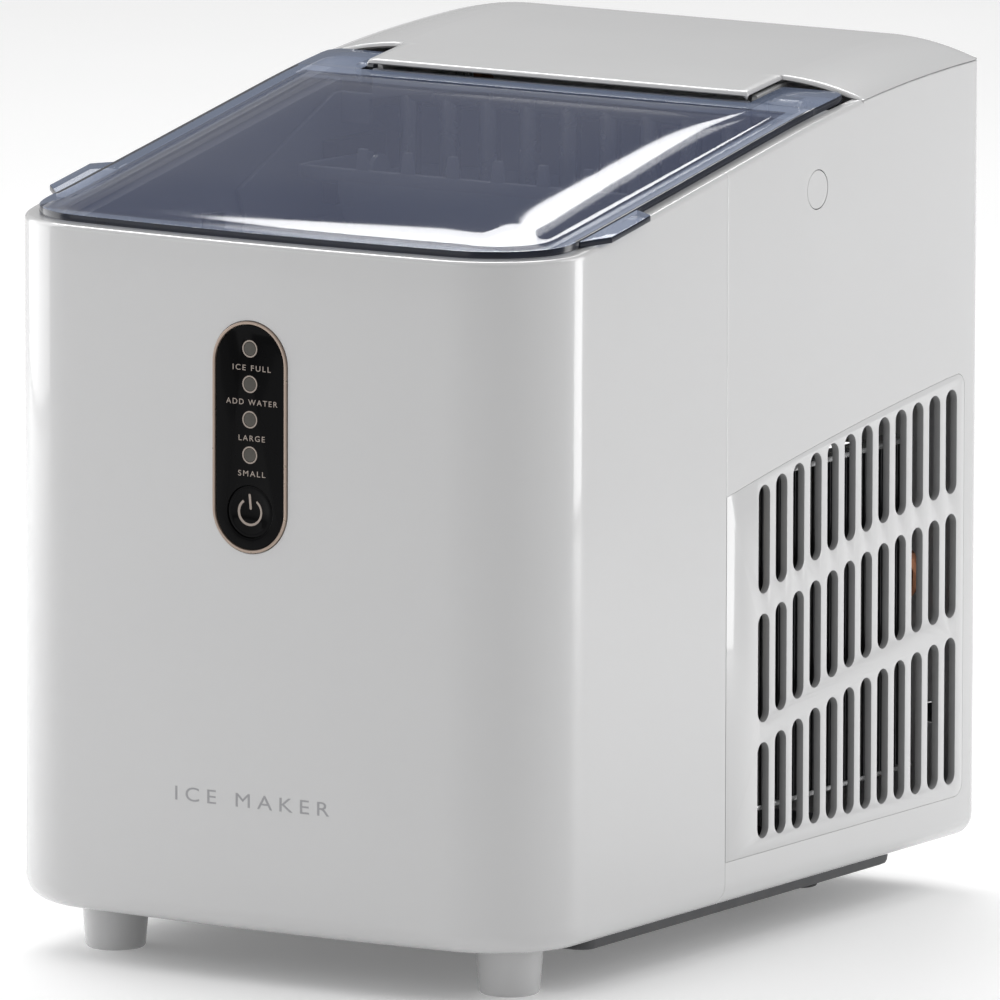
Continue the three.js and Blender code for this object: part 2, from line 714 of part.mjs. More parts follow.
function fasteners() {
  for (const [name, side] of [["side_cap_left", -1], ["side_cap_right", 1]]) {
    add(name, round("x", 6.7, 2.4, [side * (width / 2 - 1.3), 190, 261], 16), housingWhite);
  }
  screwPlaces.forEach(([x, z], i) => {
    const head = round("y", 3.5, 2, [x, depth - 1.3, z], 10);
    const slot = block([x - 2.4, x + 2.4], [depth - 0.9, depth + 1], [z - 0.4, z + 0.4]);
    add(`rear_screw_${i + 1}`, head.subtract(slot), steel);
  });
}

// ---- assembly ----
const blank = housingBlank();
add("front_shell", frontShell(blank), housingWhite);
add("rear_shell", rearShell(blank), housingWhite);
add("top_cover", topCover(), housingWhite);
add("lid", lid(), tintedClear);
hingePins();
controlPanel();
feet();
add("base_pan", basePan(), darkPlastic);
add("drain_plug", drainPlug(), rubberBlack);
add("inner_tank", innerTank(), linerGrey);
add("tank_insulation", tankInsulation(), foam);
add("evaporator_shroud", evaporatorShroud(), linerGrey);
add("evaporator", evaporator(), steel);
add("water_tray", waterTray(), smokedClear);
add("ice_pusher", icePusher(), linerGrey);
trayDrive();
add("ice_basket", iceBasket(), smokedClear);
iceSensors();
waterPump();
compressor();
add("condenser", condenser(), aluminium);
add("fan_frame", fanFrame(), darkPlastic);
add("fan", fan(), darkPlastic);
add("fan_motor", fanMotor(), blackPaint);
refrigerantLine();
electrics();
fasteners();

export default machine;
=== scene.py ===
# Countertop ice maker: the fine visible pieces, their materials, the studio and the camera.
import json
import math

import bmesh
import bpy
from mathutils import Matrix, Vector

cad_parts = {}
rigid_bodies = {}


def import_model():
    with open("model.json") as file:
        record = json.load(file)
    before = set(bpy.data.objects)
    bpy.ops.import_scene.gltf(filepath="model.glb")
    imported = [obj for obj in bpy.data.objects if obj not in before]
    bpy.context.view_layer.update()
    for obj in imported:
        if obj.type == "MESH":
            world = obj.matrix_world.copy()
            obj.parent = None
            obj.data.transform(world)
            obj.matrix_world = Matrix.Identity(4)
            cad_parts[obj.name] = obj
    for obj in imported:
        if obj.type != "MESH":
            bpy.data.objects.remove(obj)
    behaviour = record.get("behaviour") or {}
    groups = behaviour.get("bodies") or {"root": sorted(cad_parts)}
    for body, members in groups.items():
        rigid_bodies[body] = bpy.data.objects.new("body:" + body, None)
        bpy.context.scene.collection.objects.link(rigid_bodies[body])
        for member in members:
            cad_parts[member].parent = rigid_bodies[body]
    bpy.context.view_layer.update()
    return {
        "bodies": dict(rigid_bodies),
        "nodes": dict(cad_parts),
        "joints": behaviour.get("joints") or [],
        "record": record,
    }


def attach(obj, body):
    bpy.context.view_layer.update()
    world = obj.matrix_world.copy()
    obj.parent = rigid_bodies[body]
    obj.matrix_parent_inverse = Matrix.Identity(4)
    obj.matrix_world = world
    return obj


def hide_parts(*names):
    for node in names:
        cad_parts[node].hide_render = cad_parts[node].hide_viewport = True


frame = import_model()

# ---- driving sizes, in millimetres unless a name says otherwise ----
MM = 0.001
WIDTH = 222.0
DEPTH = 303.6
PROUD = 0.6            # how far the panel trim stands in front of the housing
WALL = 2.6
FOOT = 18.0
SEAM = 130.6
SEAM_GAP = 0.1
FRONT_RADIUS = 35.0
REAR_RADIUS = 8.0
BOW = 5.9              # how far the middle of the front stands ahead of its corners
EDGE_FRONT = 256.5     # height of the side walls' top edge at the front
FLAT_END = 34.0
SLOPE = 0.1795
EASE_START = 172.0
EASE = 0.000625
CROWN = 6.2
CROWN_FLAT = 74.0
TONGUE_HALF = 78.0
TONGUE_FRONT = 197.2
EAR_EDGE = 220.6
LID_INSET = 5.0
LID_REAR = 196.0
EAR_REAR = 218.2
LID_LIFT = 0.3         # the lid's underside above the rim
LID_SHEET = 2.7
HINGE_AT = 213.0
HINGE_Z = 285.5
PANEL_Z = 190.0
BUTTON_Z = 164.3
LAMPS = (220.5, 208.3, 196.1, 183.9)
SLOT_FIRST = 151.7
SLOT_PITCH = 11.47
SLOT_WIDE = 7.6
SLOT_LONG = 38.0
SLOT_TOP = 162.5
SLOT_DROP = 45.0
SLOT_FLOOR = 38.8

# ---- places, in millimetres ----
FRONT_FEET = (80.3, 39.7)     # across from the middle, and behind the front
REAR_FEET = (30, 276)
DRAIN = (88, 218)
COMPRESSOR = (-48, 225)
CAP = (190, 261)              # behind the front, and height
TRAY_AXIS = (200, 252)
FAN = (215, 105)
INLET = (66, 52)              # across, and height
SCREWS = [(-92, 60), (92, 60), (-92, 250), (92, 250)]


# ---- camera ----
def direction(azimuth, elevation):
    """The way towards a place seen from the machine; azimuth runs from the front towards the right."""
    turn, rise = math.radians(azimuth), math.radians(elevation)
    return Vector((math.sin(turn) * math.cos(rise), -math.cos(turn) * math.cos(rise), math.sin(rise)))


def aim_camera():
    back, distance = direction(32.0, 9.18), 6.372
    right = direction(122.0, 0.0)
    target = Vector((0.0, 0.0, 0.150)) + right * 0.00501 + back.cross(right) * -0.00204
    camera = bpy.data.objects.new("camera", bpy.data.cameras.new("camera"))
    camera.location = target + back * distance
    roll = Matrix.Rotation(math.radians(0.15), 3, "Z").to_quaternion()
    camera.rotation_euler = (back.to_track_quat("Z", "Y") @ roll).to_euler()
    camera.data.sensor_width = 36.0
    camera.data.lens = 36.0 * 18.338
    camera.data.clip_end = 50.0
    bpy.context.scene.collection.objects.link(camera)
    bpy.context.scene.camera = camera


aim_camera()


# ---- mesh helpers ----
def at(x, behind, z):
    """A point in metres from its place across, its distance behind the front and its height."""
    return Vector((x * MM, (behind - DEPTH / 2) * MM, z * MM))


def mesh_of(name, points, faces):
    mesh = bpy.data.meshes.new(name)
    mesh.from_pydata([tuple(p) for p in points], [], faces)
    mesh.update()
    return mesh


def object_of(name, mesh):
    thing = bpy.data.objects.new(name, mesh)
    bpy.context.scene.collection.objects.link(thing)
    return thing


def tidied(mesh):
    """Merges doubled points, turns the faces outwards and returns the same mesh."""
    work = bmesh.new()
    work.from_mesh(mesh)
    bmesh.ops.remove_doubles(work, verts=work.verts, dist=1e-6)
    bmesh.ops.dissolve_degenerate(work, edges=work.edges, dist=1e-7)
    bmesh.ops.recalc_face_normals(work, faces=work.faces)
    work.to_mesh(mesh)
    work.free()
    return mesh


def loft(name, rings, closed=False, capped=True):
    """Joins equal rings of points, each ring closed on itself, into one skin."""
    count = len(rings[0])
    points = [p for ring in rings for p in ring]
    faces = []
    last = len(rings) if closed else len(rings) - 1
    for r in range(last):
        a, b = r * count, ((r + 1) % len(rings)) * count
        for i in range(count):
            j = (i + 1) % count
            faces.append((a + i, a + j, b + j, b + i))
    if capped and not closed:
        faces.append(tuple(range(count)))
        faces.append(tuple(range((len(rings) - 1) * count, len(rings) * count)))
    return tidied(mesh_of(name, points, faces))


def evaluated(thing):
    """The object's mesh with its modifiers applied, the object itself removed."""
    graph = bpy.context.evaluated_depsgraph_get()
    mesh = bpy.data.meshes.new_from_object(thing.evaluated_get(graph))
    bpy.data.objects.remove(thing)
    return mesh


def bevelled(mesh, width, segments=2, angle=35.0):
    thing = object_of("work", mesh)
    bevel = thing.modifiers.new("bevel", "BEVEL")
    bevel.width = width * MM
    bevel.segments = segments
    bevel.angle_limit = math.radians(angle)
    bevel.harden_normals = False
    return evaluated(thing)


def cut(mesh, tool, operation="DIFFERENCE"):
    """Cuts or joins two closed meshes."""
    thing, other = object_of("work", mesh), object_of("tool", tool)
    boolean = thing.modifiers.new("boolean", "BOOLEAN")
    boolean.object = other
    boolean.operation = operation
    boolean.solver = "EXACT"
    result = evaluated(thing)
    bpy.data.objects.remove(other)
    return result


def together(name, meshes):
    """One mesh from several."""
    work = bmesh.new()
    for mesh in meshes:
        work.from_mesh(mesh)
    joined = bpy.data.meshes.new(name)
    work.to_mesh(joined)
    work.free()
    return joined


def piece(name, mesh, material, body="body", stands_for=(), angle=32.0, extra=(),
          flat_over=None):
    """Finishes a piece: materials, smooth faces, body and the nodes it stands for.

    extra lists (material, test) pairs. Faces larger than flat_over, in square millimetres, stay flat.
    """
    mesh.name = name
    mesh.materials.clear()
    mesh.materials.append(material)
    indices = [0] * len(mesh.polygons)
    for number, (other, test) in enumerate(extra, 1):
        mesh.materials.append(other)
        indices = [number if test(polygon) else index for polygon, index in zip(mesh.polygons, indices)]
    mesh.polygons.foreach_set("material_index", indices)
    limit = flat_over * MM * MM if flat_over else math.inf
    mesh.polygons.foreach_set("use_smooth", [polygon.area < limit for polygon in mesh.polygons])
    mesh.set_sharp_from_angle(angle=math.radians(angle))
    thing = object_of(name, mesh)
    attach(thing, body)
    if stands_for:
        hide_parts(*stands_for)
    return thing


def arc(steps, start, end):
    """Angles in radians from start to end, given in degrees."""
    return [math.radians(start + (end - start) * i / steps) for i in range(steps + 1)]


def prism(name, outline, place, low, high):
    """Raises an outline of (a, b) pairs; place(a, b, c) turns them and the height c into a point."""
    rings = [[place(a, b, c) for a, b in outline] for c in (low, high)]
    return loft(name, rings)


def upright(a, b, c):
    return at(a, b, c)


def across(a, b, c):
    return at(c, a, b)


def backward(a, b, c):
    return at(a, c, b)


def block(name, x, behind, z):
    outline = [(x[0], behind[0]), (x[1], behind[0]), (x[1], behind[1]), (x[0], behind[1])]
    return prism(name, outline, upright, z[0], z[1])


def stadium(wide, tall, middle_a, middle_b, steps=24):
    radius, straight = wide / 2, tall / 2 - wide / 2
    top = [(middle_a + radius * math.cos(t), middle_b + straight + radius * math.sin(t))
           for t in arc(steps, 0, 180)]
    low = [(middle_a + radius * math.cos(t), middle_b - straight + radius * math.sin(t))
           for t in arc(steps, 180, 360)]
    return top + low


def disc(radius, middle_a, middle_b, steps=48):
    return [(middle_a + radius * math.cos(t), middle_b + radius * math.sin(t))
            for t in arc(steps, 0, 360)[:-1]]


def spun(name, profile, place, a, b, steps=48):
    """A body turned about the line through (a, b), from (radius, height) pairs with both ends on the axis."""
    rings = [[place(a + r * math.cos(t), b + r * math.sin(t), c) for t in arc(steps, 0, 360)[:-1]] for r,
             c in profile]
    return loft(name, rings)


def upright_part(a, b, c):
    """Places a small part about the origin, standing up."""
    return Vector((a, b, c)) * MM


def facing_part(a, b, c):
    """Places a small part about the origin, c running backwards."""
    return Vector((a, c, b)) * MM


def sideways_part(a, b, c):
    """Places a small part about the origin, c running to the right."""
    return Vector((c, a, b)) * MM


def oblong(a, b, radius=0.0, steps=8):
    """A rectangle outline from its (low, high) spans, with rounded corners."""
    if radius <= 0:
        return [(a[0], b[0]), (a[1], b[0]), (a[1], b[1]), (a[0], b[1])]
    corners = [(a[1] - radius, b[0] + radius, -90), (a[1] - radius, b[1] - radius, 0),
               (a[0] + radius, b[1] - radius, 90), (a[0] + radius, b[0] + radius, 180)]
    return [(ca + radius * math.cos(t), cb + radius * math.sin(t)) for ca, cb, from_ in corners
            for t in arc(steps, from_, from_ + 90)]


def pipe(points, radius, material_steps=12, smooth=True):
    """A round pipe through (across, behind, height) points."""
    curve = bpy.data.curves.new("pipe", "CURVE")
    curve.dimensions = "3D"
    curve.bevel_depth = radius * MM
    curve.bevel_resolution = 6
    curve.use_fill_caps = True
    curve.resolution_u = material_steps
    spline = curve.splines.new("NURBS" if smooth else "POLY")
    spline.points.add(len(points) - 1)
    for slot, point in zip(spline.points, points):
        slot.co = (*at(*point), 1.0)
    if smooth:
        spline.order_u = 3
        spline.use_endpoint_u = True
    thing = bpy.data.objects.new("pipe", curve)
    bpy.context.scene.collection.objects.link(thing)
    return tidied(evaluated(thing))


# ---- shapes shared by the housing ----
def side_edge(behind):
    """Height of the side walls' top edge, with the kink at the end of the flat part eased."""
    ramp = behind - FLAT_END
    soft = 7.0
    risen = 0.5 * (ramp + math.sqrt(ramp * ramp + soft * soft)) if ramp < 60 else ramp
    eased = max(behind - EASE_START, 0.0)
    return EDGE_FRONT + SLOPE * risen - EASE * eased * eased


def bowed(x, behind, half):
    return behind + BOW * (x / half) ** 2 * max(0.0, 1.0 - behind / SEAM)


def plan_outline(inset, rear, rear_radius=2.0, steps=20, sides=24):
    """The housing's plan drawn in by an inset and ended at a distance behind the front."""
    half = WIDTH / 2 - inset
    radius = max(FRONT_RADIUS - inset, 0.5)
    start, middle = PROUD + inset + radius, half - radius
    points = [(half, rear - rear_radius + (start - rear + rear_radius) * i / sides) for i in range(sides)]
    points += [(middle + radius * math.cos(t), start - radius * math.sin(t)) for t in arc(steps, 0, 90)]
    points += [(middle * (1 - 2 * i / sides), PROUD + inset) for i in range(1, sides)]
    points += [(-middle - radius * math.sin(t), start - radius * math.cos(t)) for t in arc(steps, 0, 90)]
    points += [(-half, start + (rear - rear_radius - start) * i / sides) for i in range(1, sides + 1)]
    points += [(-half + rear_radius - rear_radius * math.cos(t),
                rear - rear_radius + rear_radius * math.sin(t))
               for t in arc(6, 0, 90)[1:]]
    points += [((half - rear_radius) * (2 * i / sides - 1), rear) for i in range(1, sides)]
    points += [(half - rear_radius + rear_radius * math.sin(t),
                rear - rear_radius + rear_radius * math.cos(t))
               for t in arc(6, 0, 90)[:-1]]
    return [(x, bowed(x, behind, half)) for x, behind in points]


def front_stations():
    """Plan stations of the front shell, as functions of the inset, from left seam to right seam."""
    end = SEAM - SEAM_GAP / 2
    start = PROUD + FRONT_RADIUS
    straight = [end, end - 0.15, end - 0.5, end - 2] + [end - 2 - (end - 2 - start) * i / 8
                                                        for i in range(1, 8)]

    def on_side(side, behind):
        return lambda inset: (side * (WIDTH / 2 - inset), behind)

    def on_corner(side, turn):
        def place(inset):
            radius = max(FRONT_RADIUS - inset, 0.5)
            middle = WIDTH / 2 - FRONT_RADIUS
            return side * (middle + radius * math.sin(turn)), start - radius * math.cos(turn)
        return place

    def on_face(x):
        return lambda inset: (x, PROUD + inset)

    middle = WIDTH / 2 - FRONT_RADIUS
    left = [on_side(-1, b) for b in straight] + [on_corner(-1, t) for t in arc(28, 90, 0)]
    face = [on_face(middle * (2 * i / 24 - 1)) for i in range(1, 24)]
    right = [on_corner(1, t) for t in arc(28, 0, 90)] + [on_side(1, b) for b in reversed(straight)]
    return left + face + right


def rear_stations():
    """Plan stations of the rear shell, from the right seam round the back to the left one."""
    start = SEAM + SEAM_GAP / 2
    end = DEPTH - REAR_RADIUS
    stops = [start, start + 0.15, start + 0.5, start + 2] + [start + 2 + (200 - start) * i / 6
                                                             for i in range(1, 6)]
    stops += [204, 205, 208, 212, 216, 219, 220.6, 220.75, 224, 235, 250, 265, 280]

    def on_side(side, behind):
        return lambda inset: (side * (WIDTH / 2 - inset), behind)

    def on_corner(side, turn):
        def place(inset):
            radius = max(REAR_RADIUS - inset, 0.05)
            shift = max(inset - REAR_RADIUS, 0.0)
            return (side * (WIDTH / 2 - REAR_RADIUS - shift + radius * math.cos(turn)),
                    end - shift + radius * math.sin(turn))
        return place

    def on_back(x):
        return lambda inset: (x, DEPTH - inset)

    middle = WIDTH / 2 - REAR_RADIUS
    right = [on_side(1, b) for b in stops] + [on_corner(1, t) for t in arc(10, 0, 90)]
    back = [on_back(middle * (1 - 2 * i / 12)) for i in range(1, 12)]
    left = [on_corner(-1, t) for t in arc(10, 90, 0)] + [on_side(-1, b) for b in reversed(stops)]
    return right + back + left


def wall_loop(behind, seam_inset):
    """The housing's closed wall section at one station, as (inset, height) pairs."""
    top = side_edge(behind) - (0.3 if behind > EAR_EDGE else 0.0)
    bottom_round, under_cover = 8.5, behind > EAR_EDGE
    rim = 0.5 if under_cover else 1.8
    reach = 14.0 if behind < 204.5 else (2.6 if under_cover else 4.7)
    drop = 3.0 if behind < 204.5 else 9.0
    loop = [(11.0, FOOT + 2.4), (11.0, FOOT)]
    loop += [(bottom_round - bottom_round * math.sin(t) + seam_inset,
              FOOT + bottom_round - bottom_round * math.cos(t))
             for t in arc(10, 0, 90)]
    low, high = FOOT + bottom_round, top - rim
    loop += [(seam_inset, low + (high - low) * i / 6) for i in range(1, 6)]
    loop += [(rim - rim * math.cos(t) + seam_inset, high + rim * math.sin(t)) for t in arc(8, 0, 90)]
    loop += [(reach + 0.01, top), (reach + 0.02, top - drop),
             (max(WALL, reach - 2.2) if behind >= 204.5 else WALL, top - drop - 0.01)]
    loop += [(WALL, top - drop - 2.0), (WALL, FOOT + 12.0), (WALL + 2.0, FOOT + 5.0),
             (WALL + 4.0, FOOT + 2.4)]
    return loop


def housing_half(name, stations):
    rings = []
    seam_side = SEAM_GAP / 2
    for station in stations:
        x, behind = station(0.0)
        from_seam = abs(behind - SEAM) - seam_side
        seam_inset = 0.0 if from_seam > 0.4 or abs(x) < WIDTH / 2 - 1 else (0.1 if from_seam < 0.1
                                                                            else 0.03)
        edge_at = bowed(x, behind, WIDTH / 2)
        ring = []
        for inset, z in wall_loop(edge_at, seam_inset):
            px, pb = station(inset)
            ring.append(at(px, bowed(px, pb, WIDTH / 2 - inset), z))
        rings.append(ring)
    return loft(name, rings)


# ---- Geometry Nodes: what repeats ----
class Tree:
    """A small Geometry Nodes group with named inputs."""

    def __init__(self, name, **inputs):
        self.group = bpy.data.node_groups.new(name, "GeometryNodeTree")
        face = self.group.interface
        face.new_socket("Geometry", in_out="INPUT", socket_type="NodeSocketGeometry")
        self.keys = {}
        for label, kind in inputs.items():
            self.keys[label] = face.new_socket(label, in_out="INPUT",
                                               socket_type="NodeSocket" + kind).identifier
        face.new_socket("Geometry", in_out="OUTPUT", socket_type="NodeSocketGeometry")
        self.entry = self.group.nodes.new("NodeGroupInput")
        self.exit = self.group.nodes.new("NodeGroupOutput")

    def node(self, kind, links=(), values=(), **settings):
        made = self.group.nodes.new(kind)
        for key, value in settings.items():
            setattr(made, key, value)
        for socket, value in dict(values).items():
            made.inputs[socket].default_value = value
        for socket, source in dict(links).items():
            self.group.links.new(source, made.inputs[socket])
        return made

    def given(self, label):
        return self.entry.outputs[label]

    def end(self, geometry, material):
        solid = self.node("GeometryNodeRealizeInstances", {"Geometry": geometry})
        coated = self.node("GeometryNodeSetMaterial", {"Geometry": solid.outputs[0], "Material": material})
        self.group.links.new(coated.outputs[0], self.exit.inputs[0])

    def grow(self, mesh, **values):
        """Runs the tree on a mesh and returns the plain result."""
        thing = object_of("work", mesh)
        modifier = thing.modifiers.new("grow", "NODES")
        modifier.node_group = self.group
        for label, value in values.items():
            modifier[self.keys[label]] = value
        return evaluated(thing)


def named(tree, name, kind="FLOAT_VECTOR"):
    """Reads a point attribute inside a tree."""
    return tree.node("GeometryNodeInputNamedAttribute", values={"Name": name}, data_type=kind).outputs[0]


def build_copy_tree():
    tree = Tree("copies_on_points", Model="Object", Finish="Material")
    model = tree.node("GeometryNodeObjectInfo", {"Object": tree.given("Model")})
    turn = tree.node("FunctionNodeEulerToRotation", {"Euler": named(tree, "turn")})
    copies = tree.node("GeometryNodeInstanceOnPoints", {
        "Points": tree.given("Geometry"), "Instance": model.outputs["Geometry"],
        "Rotation": turn.outputs[0], "Scale": named(tree, "size")})
    tree.end(copies.outputs[0], tree.given("Finish"))
    return tree


def build_plate_tree():
    tree = Tree("plate_with_slots", Thickness="Float", EndRadius="Float", Finish="Material")
    span = named(tree, "span")
    parts = tree.node("ShaderNodeSeparateXYZ", {"Vector": span})
    is_slot = tree.node("FunctionNodeCompare", {"A": parts.outputs[0]}, {"B": 1e-6},
                        operation="GREATER_THAN")
    split = tree.node("GeometryNodeSeparateGeometry",
                      {"Geometry": tree.given("Geometry"), "Selection": is_slot.outputs[0]})
    rim = tree.node("GeometryNodeMeshToCurve", {"Mesh": split.outputs["Inverted"]})
    unit = tree.node("GeometryNodeCurvePrimitiveQuadrilateral", values={"Width": 1.0, "Height": 1.0})
    spots = tree.node("GeometryNodeMeshToPoints", {"Mesh": split.outputs["Selection"]})
    slots = tree.node("GeometryNodeInstanceOnPoints", {
        "Points": spots.outputs[0], "Instance": unit.outputs[0], "Scale": span})
    loose = tree.node("GeometryNodeRealizeInstances", {"Geometry": slots.outputs[0]})
    rounded = tree.node("GeometryNodeFilletCurve", {
        "Curve": loose.outputs[0], "Radius": tree.given("EndRadius")}, {"Count": 8}, mode="POLY")
    outlines = tree.node("GeometryNodeJoinGeometry", {"Geometry": rounded.outputs[0]})
    tree.group.links.new(rim.outputs[0], outlines.inputs[0])
    sheet = tree.node("GeometryNodeFillCurve", {"Curve": outlines.outputs[0]}, mode="NGONS")
    raised = tree.node("GeometryNodeExtrudeMesh", {
        "Mesh": sheet.outputs[0], "Offset Scale": tree.given("Thickness")}, {"Individual": False},
        mode="FACES")
    under = tree.node("GeometryNodeFlipFaces", {"Mesh": sheet.outputs[0]})
    both = tree.node("GeometryNodeJoinGeometry", {"Geometry": raised.outputs[0]})
    tree.group.links.new(under.outputs[0], both.inputs[0])
    merged = tree.node("GeometryNodeMergeByDistance", {"Geometry": both.outputs[0]}, {"Distance": 1e-6})
    tree.end(merged.outputs[0], tree.given("Finish"))
    return tree


def points_mesh(points, **vectors):
    """Loose points in metres with vector attributes."""
    mesh = bpy.data.meshes.new("places")
    mesh.from_pydata([tuple(p) for p in points], [], [])
    for name, values in vectors.items():
        layer = mesh.attributes.new(name, "FLOAT_VECTOR", "POINT")
        layer.data.foreach_set("vector", [c for value in values for c in value])
    return mesh


def copies(model, points, material, turns=None, sizes=None):
    """Copies of a small mesh, modelled about the origin, at each point."""
    turns = turns or [(0, 0, 0)] * len(points)
    sizes = sizes or [(1, 1, 1)] * len(points)
    places = points_mesh(points, turn=turns, size=sizes)
    sample = object_of("sample", model)
    mesh = copy_tree.grow(places, Model=sample, Finish=material)
    bpy.data.objects.remove(sample)
    return mesh


def punched_plate(outline, slots, thickness, material, place):
    """A plate from an outline and (middle a, middle b, wide, long) slots, put where place(a, b, c) says."""
    points = [(a * MM, b * MM, 0) for a, b in outline] + [(a * MM, b * MM, 0) for a, b, _, _ in slots]
    spans = [(0, 0, 0)] * len(outline) + [(wide * MM, long * MM, MM) for _, _, wide, long in slots]
    mesh = bpy.data.meshes.new("plate")
    edges = [(i, (i + 1) % len(outline)) for i in range(len(outline))]
    mesh.from_pydata(points, edges, [])
    layer = mesh.attributes.new("span", "FLOAT_VECTOR", "POINT")
    layer.data.foreach_set("vector", [c for span in spans for c in span])
    end_radius = min(min(wide, long) for _, _, wide, long in slots) / 2 * 0.998
    grown = plate_tree.grow(mesh, Thickness=thickness * MM, EndRadius=end_radius * MM, Finish=material)
    for vertex in grown.vertices:
        a, b, c = vertex.co / MM
        vertex.co = place(a, b, c)
    return tidied(grown)


copy_tree = build_copy_tree()
plate_tree = build_plate_tree()


# ---- materials ----
class Finish:
    """A principled material with noise-driven colour, roughness and bump, on Object coordinates."""

    def __init__(self, name, color, roughness, **settings):
        self.material = bpy.data.materials.new(name)
        self.material.use_nodes = True
        self.nodes, self.links = self.material.node_tree.nodes, self.material.node_tree.links
        self.shader = self.nodes["Principled BSDF"]
        self.color, self.roughness = color, roughness
        self.shader.inputs["Base Color"].default_value = (*color, 1.0)
        self.shader.inputs["Roughness"].default_value = roughness
        for label, value in settings.items():
            self.shader.inputs[label.replace("_", " ")].default_value = value
        self.place = self.nodes.new("ShaderNodeTexCoord").outputs["Object"]

    def noise(self, size_mm, detail=3.0, stretch=None):
        source = self.place
        if stretch:
            mapping = self.nodes.new("ShaderNodeMapping")
            mapping.inputs["Scale"].default_value = stretch
            self.links.new(source, mapping.inputs["Vector"])
            source = mapping.outputs[0]
        noise = self.nodes.new("ShaderNodeTexNoise")
        noise.inputs["Scale"].default_value = 1.0 / (size_mm * MM)
        noise.inputs["Detail"].default_value = detail
        self.links.new(source, noise.inputs["Vector"])
        return noise.outputs[0]

    def spread(self, source, low, high, from_low=0.1, from_high=0.9):
        ranged = self.nodes.new("ShaderNodeMapRange")
        for label, value in (("From Min", from_low), ("From Max", from_high), ("To Min", low),
                             ("To Max", high)):
            ranged.inputs[label].default_value = value
        self.links.new(source, ranged.inputs["Value"])
        return ranged.outputs[0]

    def mottle(self, size_mm, amount, stretch=None, tint=None):
        """Varies the colour by a part of itself, towards a tint where one is given."""
        ramp = self.nodes.new("ShaderNodeValToRGB")
        darker = tint or tuple(c * (1 - amount) for c in self.color)
        lighter = tuple(min(1.0, c * (1 + amount)) for c in self.color)
        ramp.color_ramp.elements[0].position, ramp.color_ramp.elements[1].position = 0.2, 0.8
        ramp.color_ramp.elements[0].color = (*darker, 1)
        ramp.color_ramp.elements[1].color = (*lighter, 1)
        self.links.new(self.noise(size_mm, 4.0, stretch), ramp.inputs[0])
        self.links.new(ramp.outputs[0], self.shader.inputs["Base Color"])
        return self

    def sheen_marks(self, size_mm, amount, stretch=None):
        """Varies the roughness."""
        values = self.spread(self.noise(size_mm, 1.0, stretch), self.roughness - amount,
                             self.roughness + amount)
        self.links.new(values, self.shader.inputs["Roughness"])
        return self

    def grain(self, size_mm, depth_mm, strength=0.3, stretch=None):
        bump = self.nodes.new("ShaderNodeBump")
        bump.inputs["Strength"].default_value = strength
        bump.inputs["Distance"].default_value = depth_mm * MM
        self.links.new(self.noise(size_mm, 3.0, stretch), bump.inputs["Height"])
        self.links.new(bump.outputs[0], self.shader.inputs["Normal"])
        return self


def housing_white():
    finish = Finish("housing_white", (0.53, 0.53, 0.533), 0.26, Coat_Weight=0.7, Coat_Roughness=0.05)
    return finish.mottle(60, 0.008).sheen_marks(40, 0.02).grain(1.4, 0.01, 0.05).material


def slot_shade():
    """Painted shade: the same plastic deep inside the slots, coloured darker where little light comes."""
    finish = Finish("slot_shade", (0.30, 0.30, 0.303), 0.5, Specular_IOR_Level=0.3)
    return finish.mottle(20, 0.05).sheen_marks(10, 0.05).grain(1.4, 0.02, 0.08).material


def lid_clear():
    """A tinted film: the alpha lets the chamber show through both faces of the lid."""
    finish = Finish("lid_clear", (0.028, 0.046, 0.125), 0.055, IOR=2.2, Alpha=0.44)
    return finish.mottle(80, 0.04).sheen_marks(30, 0.01).grain(40, 0.02, 0.04).material


def lid_flange_painted_light():
    """The lid's flange over the pale rim, where it looks lighter: painted light, the same film coloured lighter
    for the pale rim seen through it.
    """
    finish = Finish("lid_flange_painted_light", (0.34, 0.41, 0.58), 0.05, IOR=1.7, Alpha=0.42)
    return finish.mottle(40, 0.06).sheen_marks(20, 0.02).grain(30, 0.02, 0.05).material


def panel_black():
    finish = Finish("panel_black", (0.002, 0.002, 0.0023), 0.06, Specular_IOR_Level=0.07)
    return finish.mottle(20, 0.2).sheen_marks(12, 0.02).grain(15, 0.01, 0.05).material


def rose_trim():
    finish = Finish("rose_trim", (0.36, 0.285, 0.235), 0.3, Metallic=0.7)
    return finish.mottle(6, 0.05).sheen_marks(3, 0.05).grain(0.4, 0.01, 0.1).material


def liner_grey():
    finish = Finish("liner_grey", (0.25, 0.27, 0.325), 0.4)
    return finish.mottle(40, 0.03).sheen_marks(12, 0.05).grain(0.9, 0.03, 0.12).material


def dark_plastic():
    finish = Finish("dark_plastic", (0.05, 0.051, 0.054), 0.52)
    return finish.mottle(20, 0.12).sheen_marks(8, 0.08).grain(0.5, 0.05, 0.35).material


def foam_cream():
    finish = Finish("foam_cream", (0.75, 0.70, 0.56), 0.9)
    return finish.mottle(9, 0.08).sheen_marks(4, 0.05).grain(1.6, 0.5, 0.6).material


def rubber_black():
    finish = Finish("rubber_black", (0.025, 0.025, 0.026), 0.7)
    return finish.mottle(12, 0.2).sheen_marks(5, 0.1).grain(0.6, 0.06, 0.35).material


def bright_steel():
    finish = Finish("bright_steel", (0.55, 0.555, 0.56), 0.26, Metallic=1.0)
    return finish.mottle(8, 0.05).sheen_marks(5, 0.04).grain(2.5, 0.01, 0.06).material


def black_paint():
    finish = Finish("black_paint", (0.012, 0.012, 0.013), 0.35, Coat_Weight=0.3)
    return finish.mottle(25, 0.2).sheen_marks(12, 0.08).grain(1.2, 0.05, 0.25).material


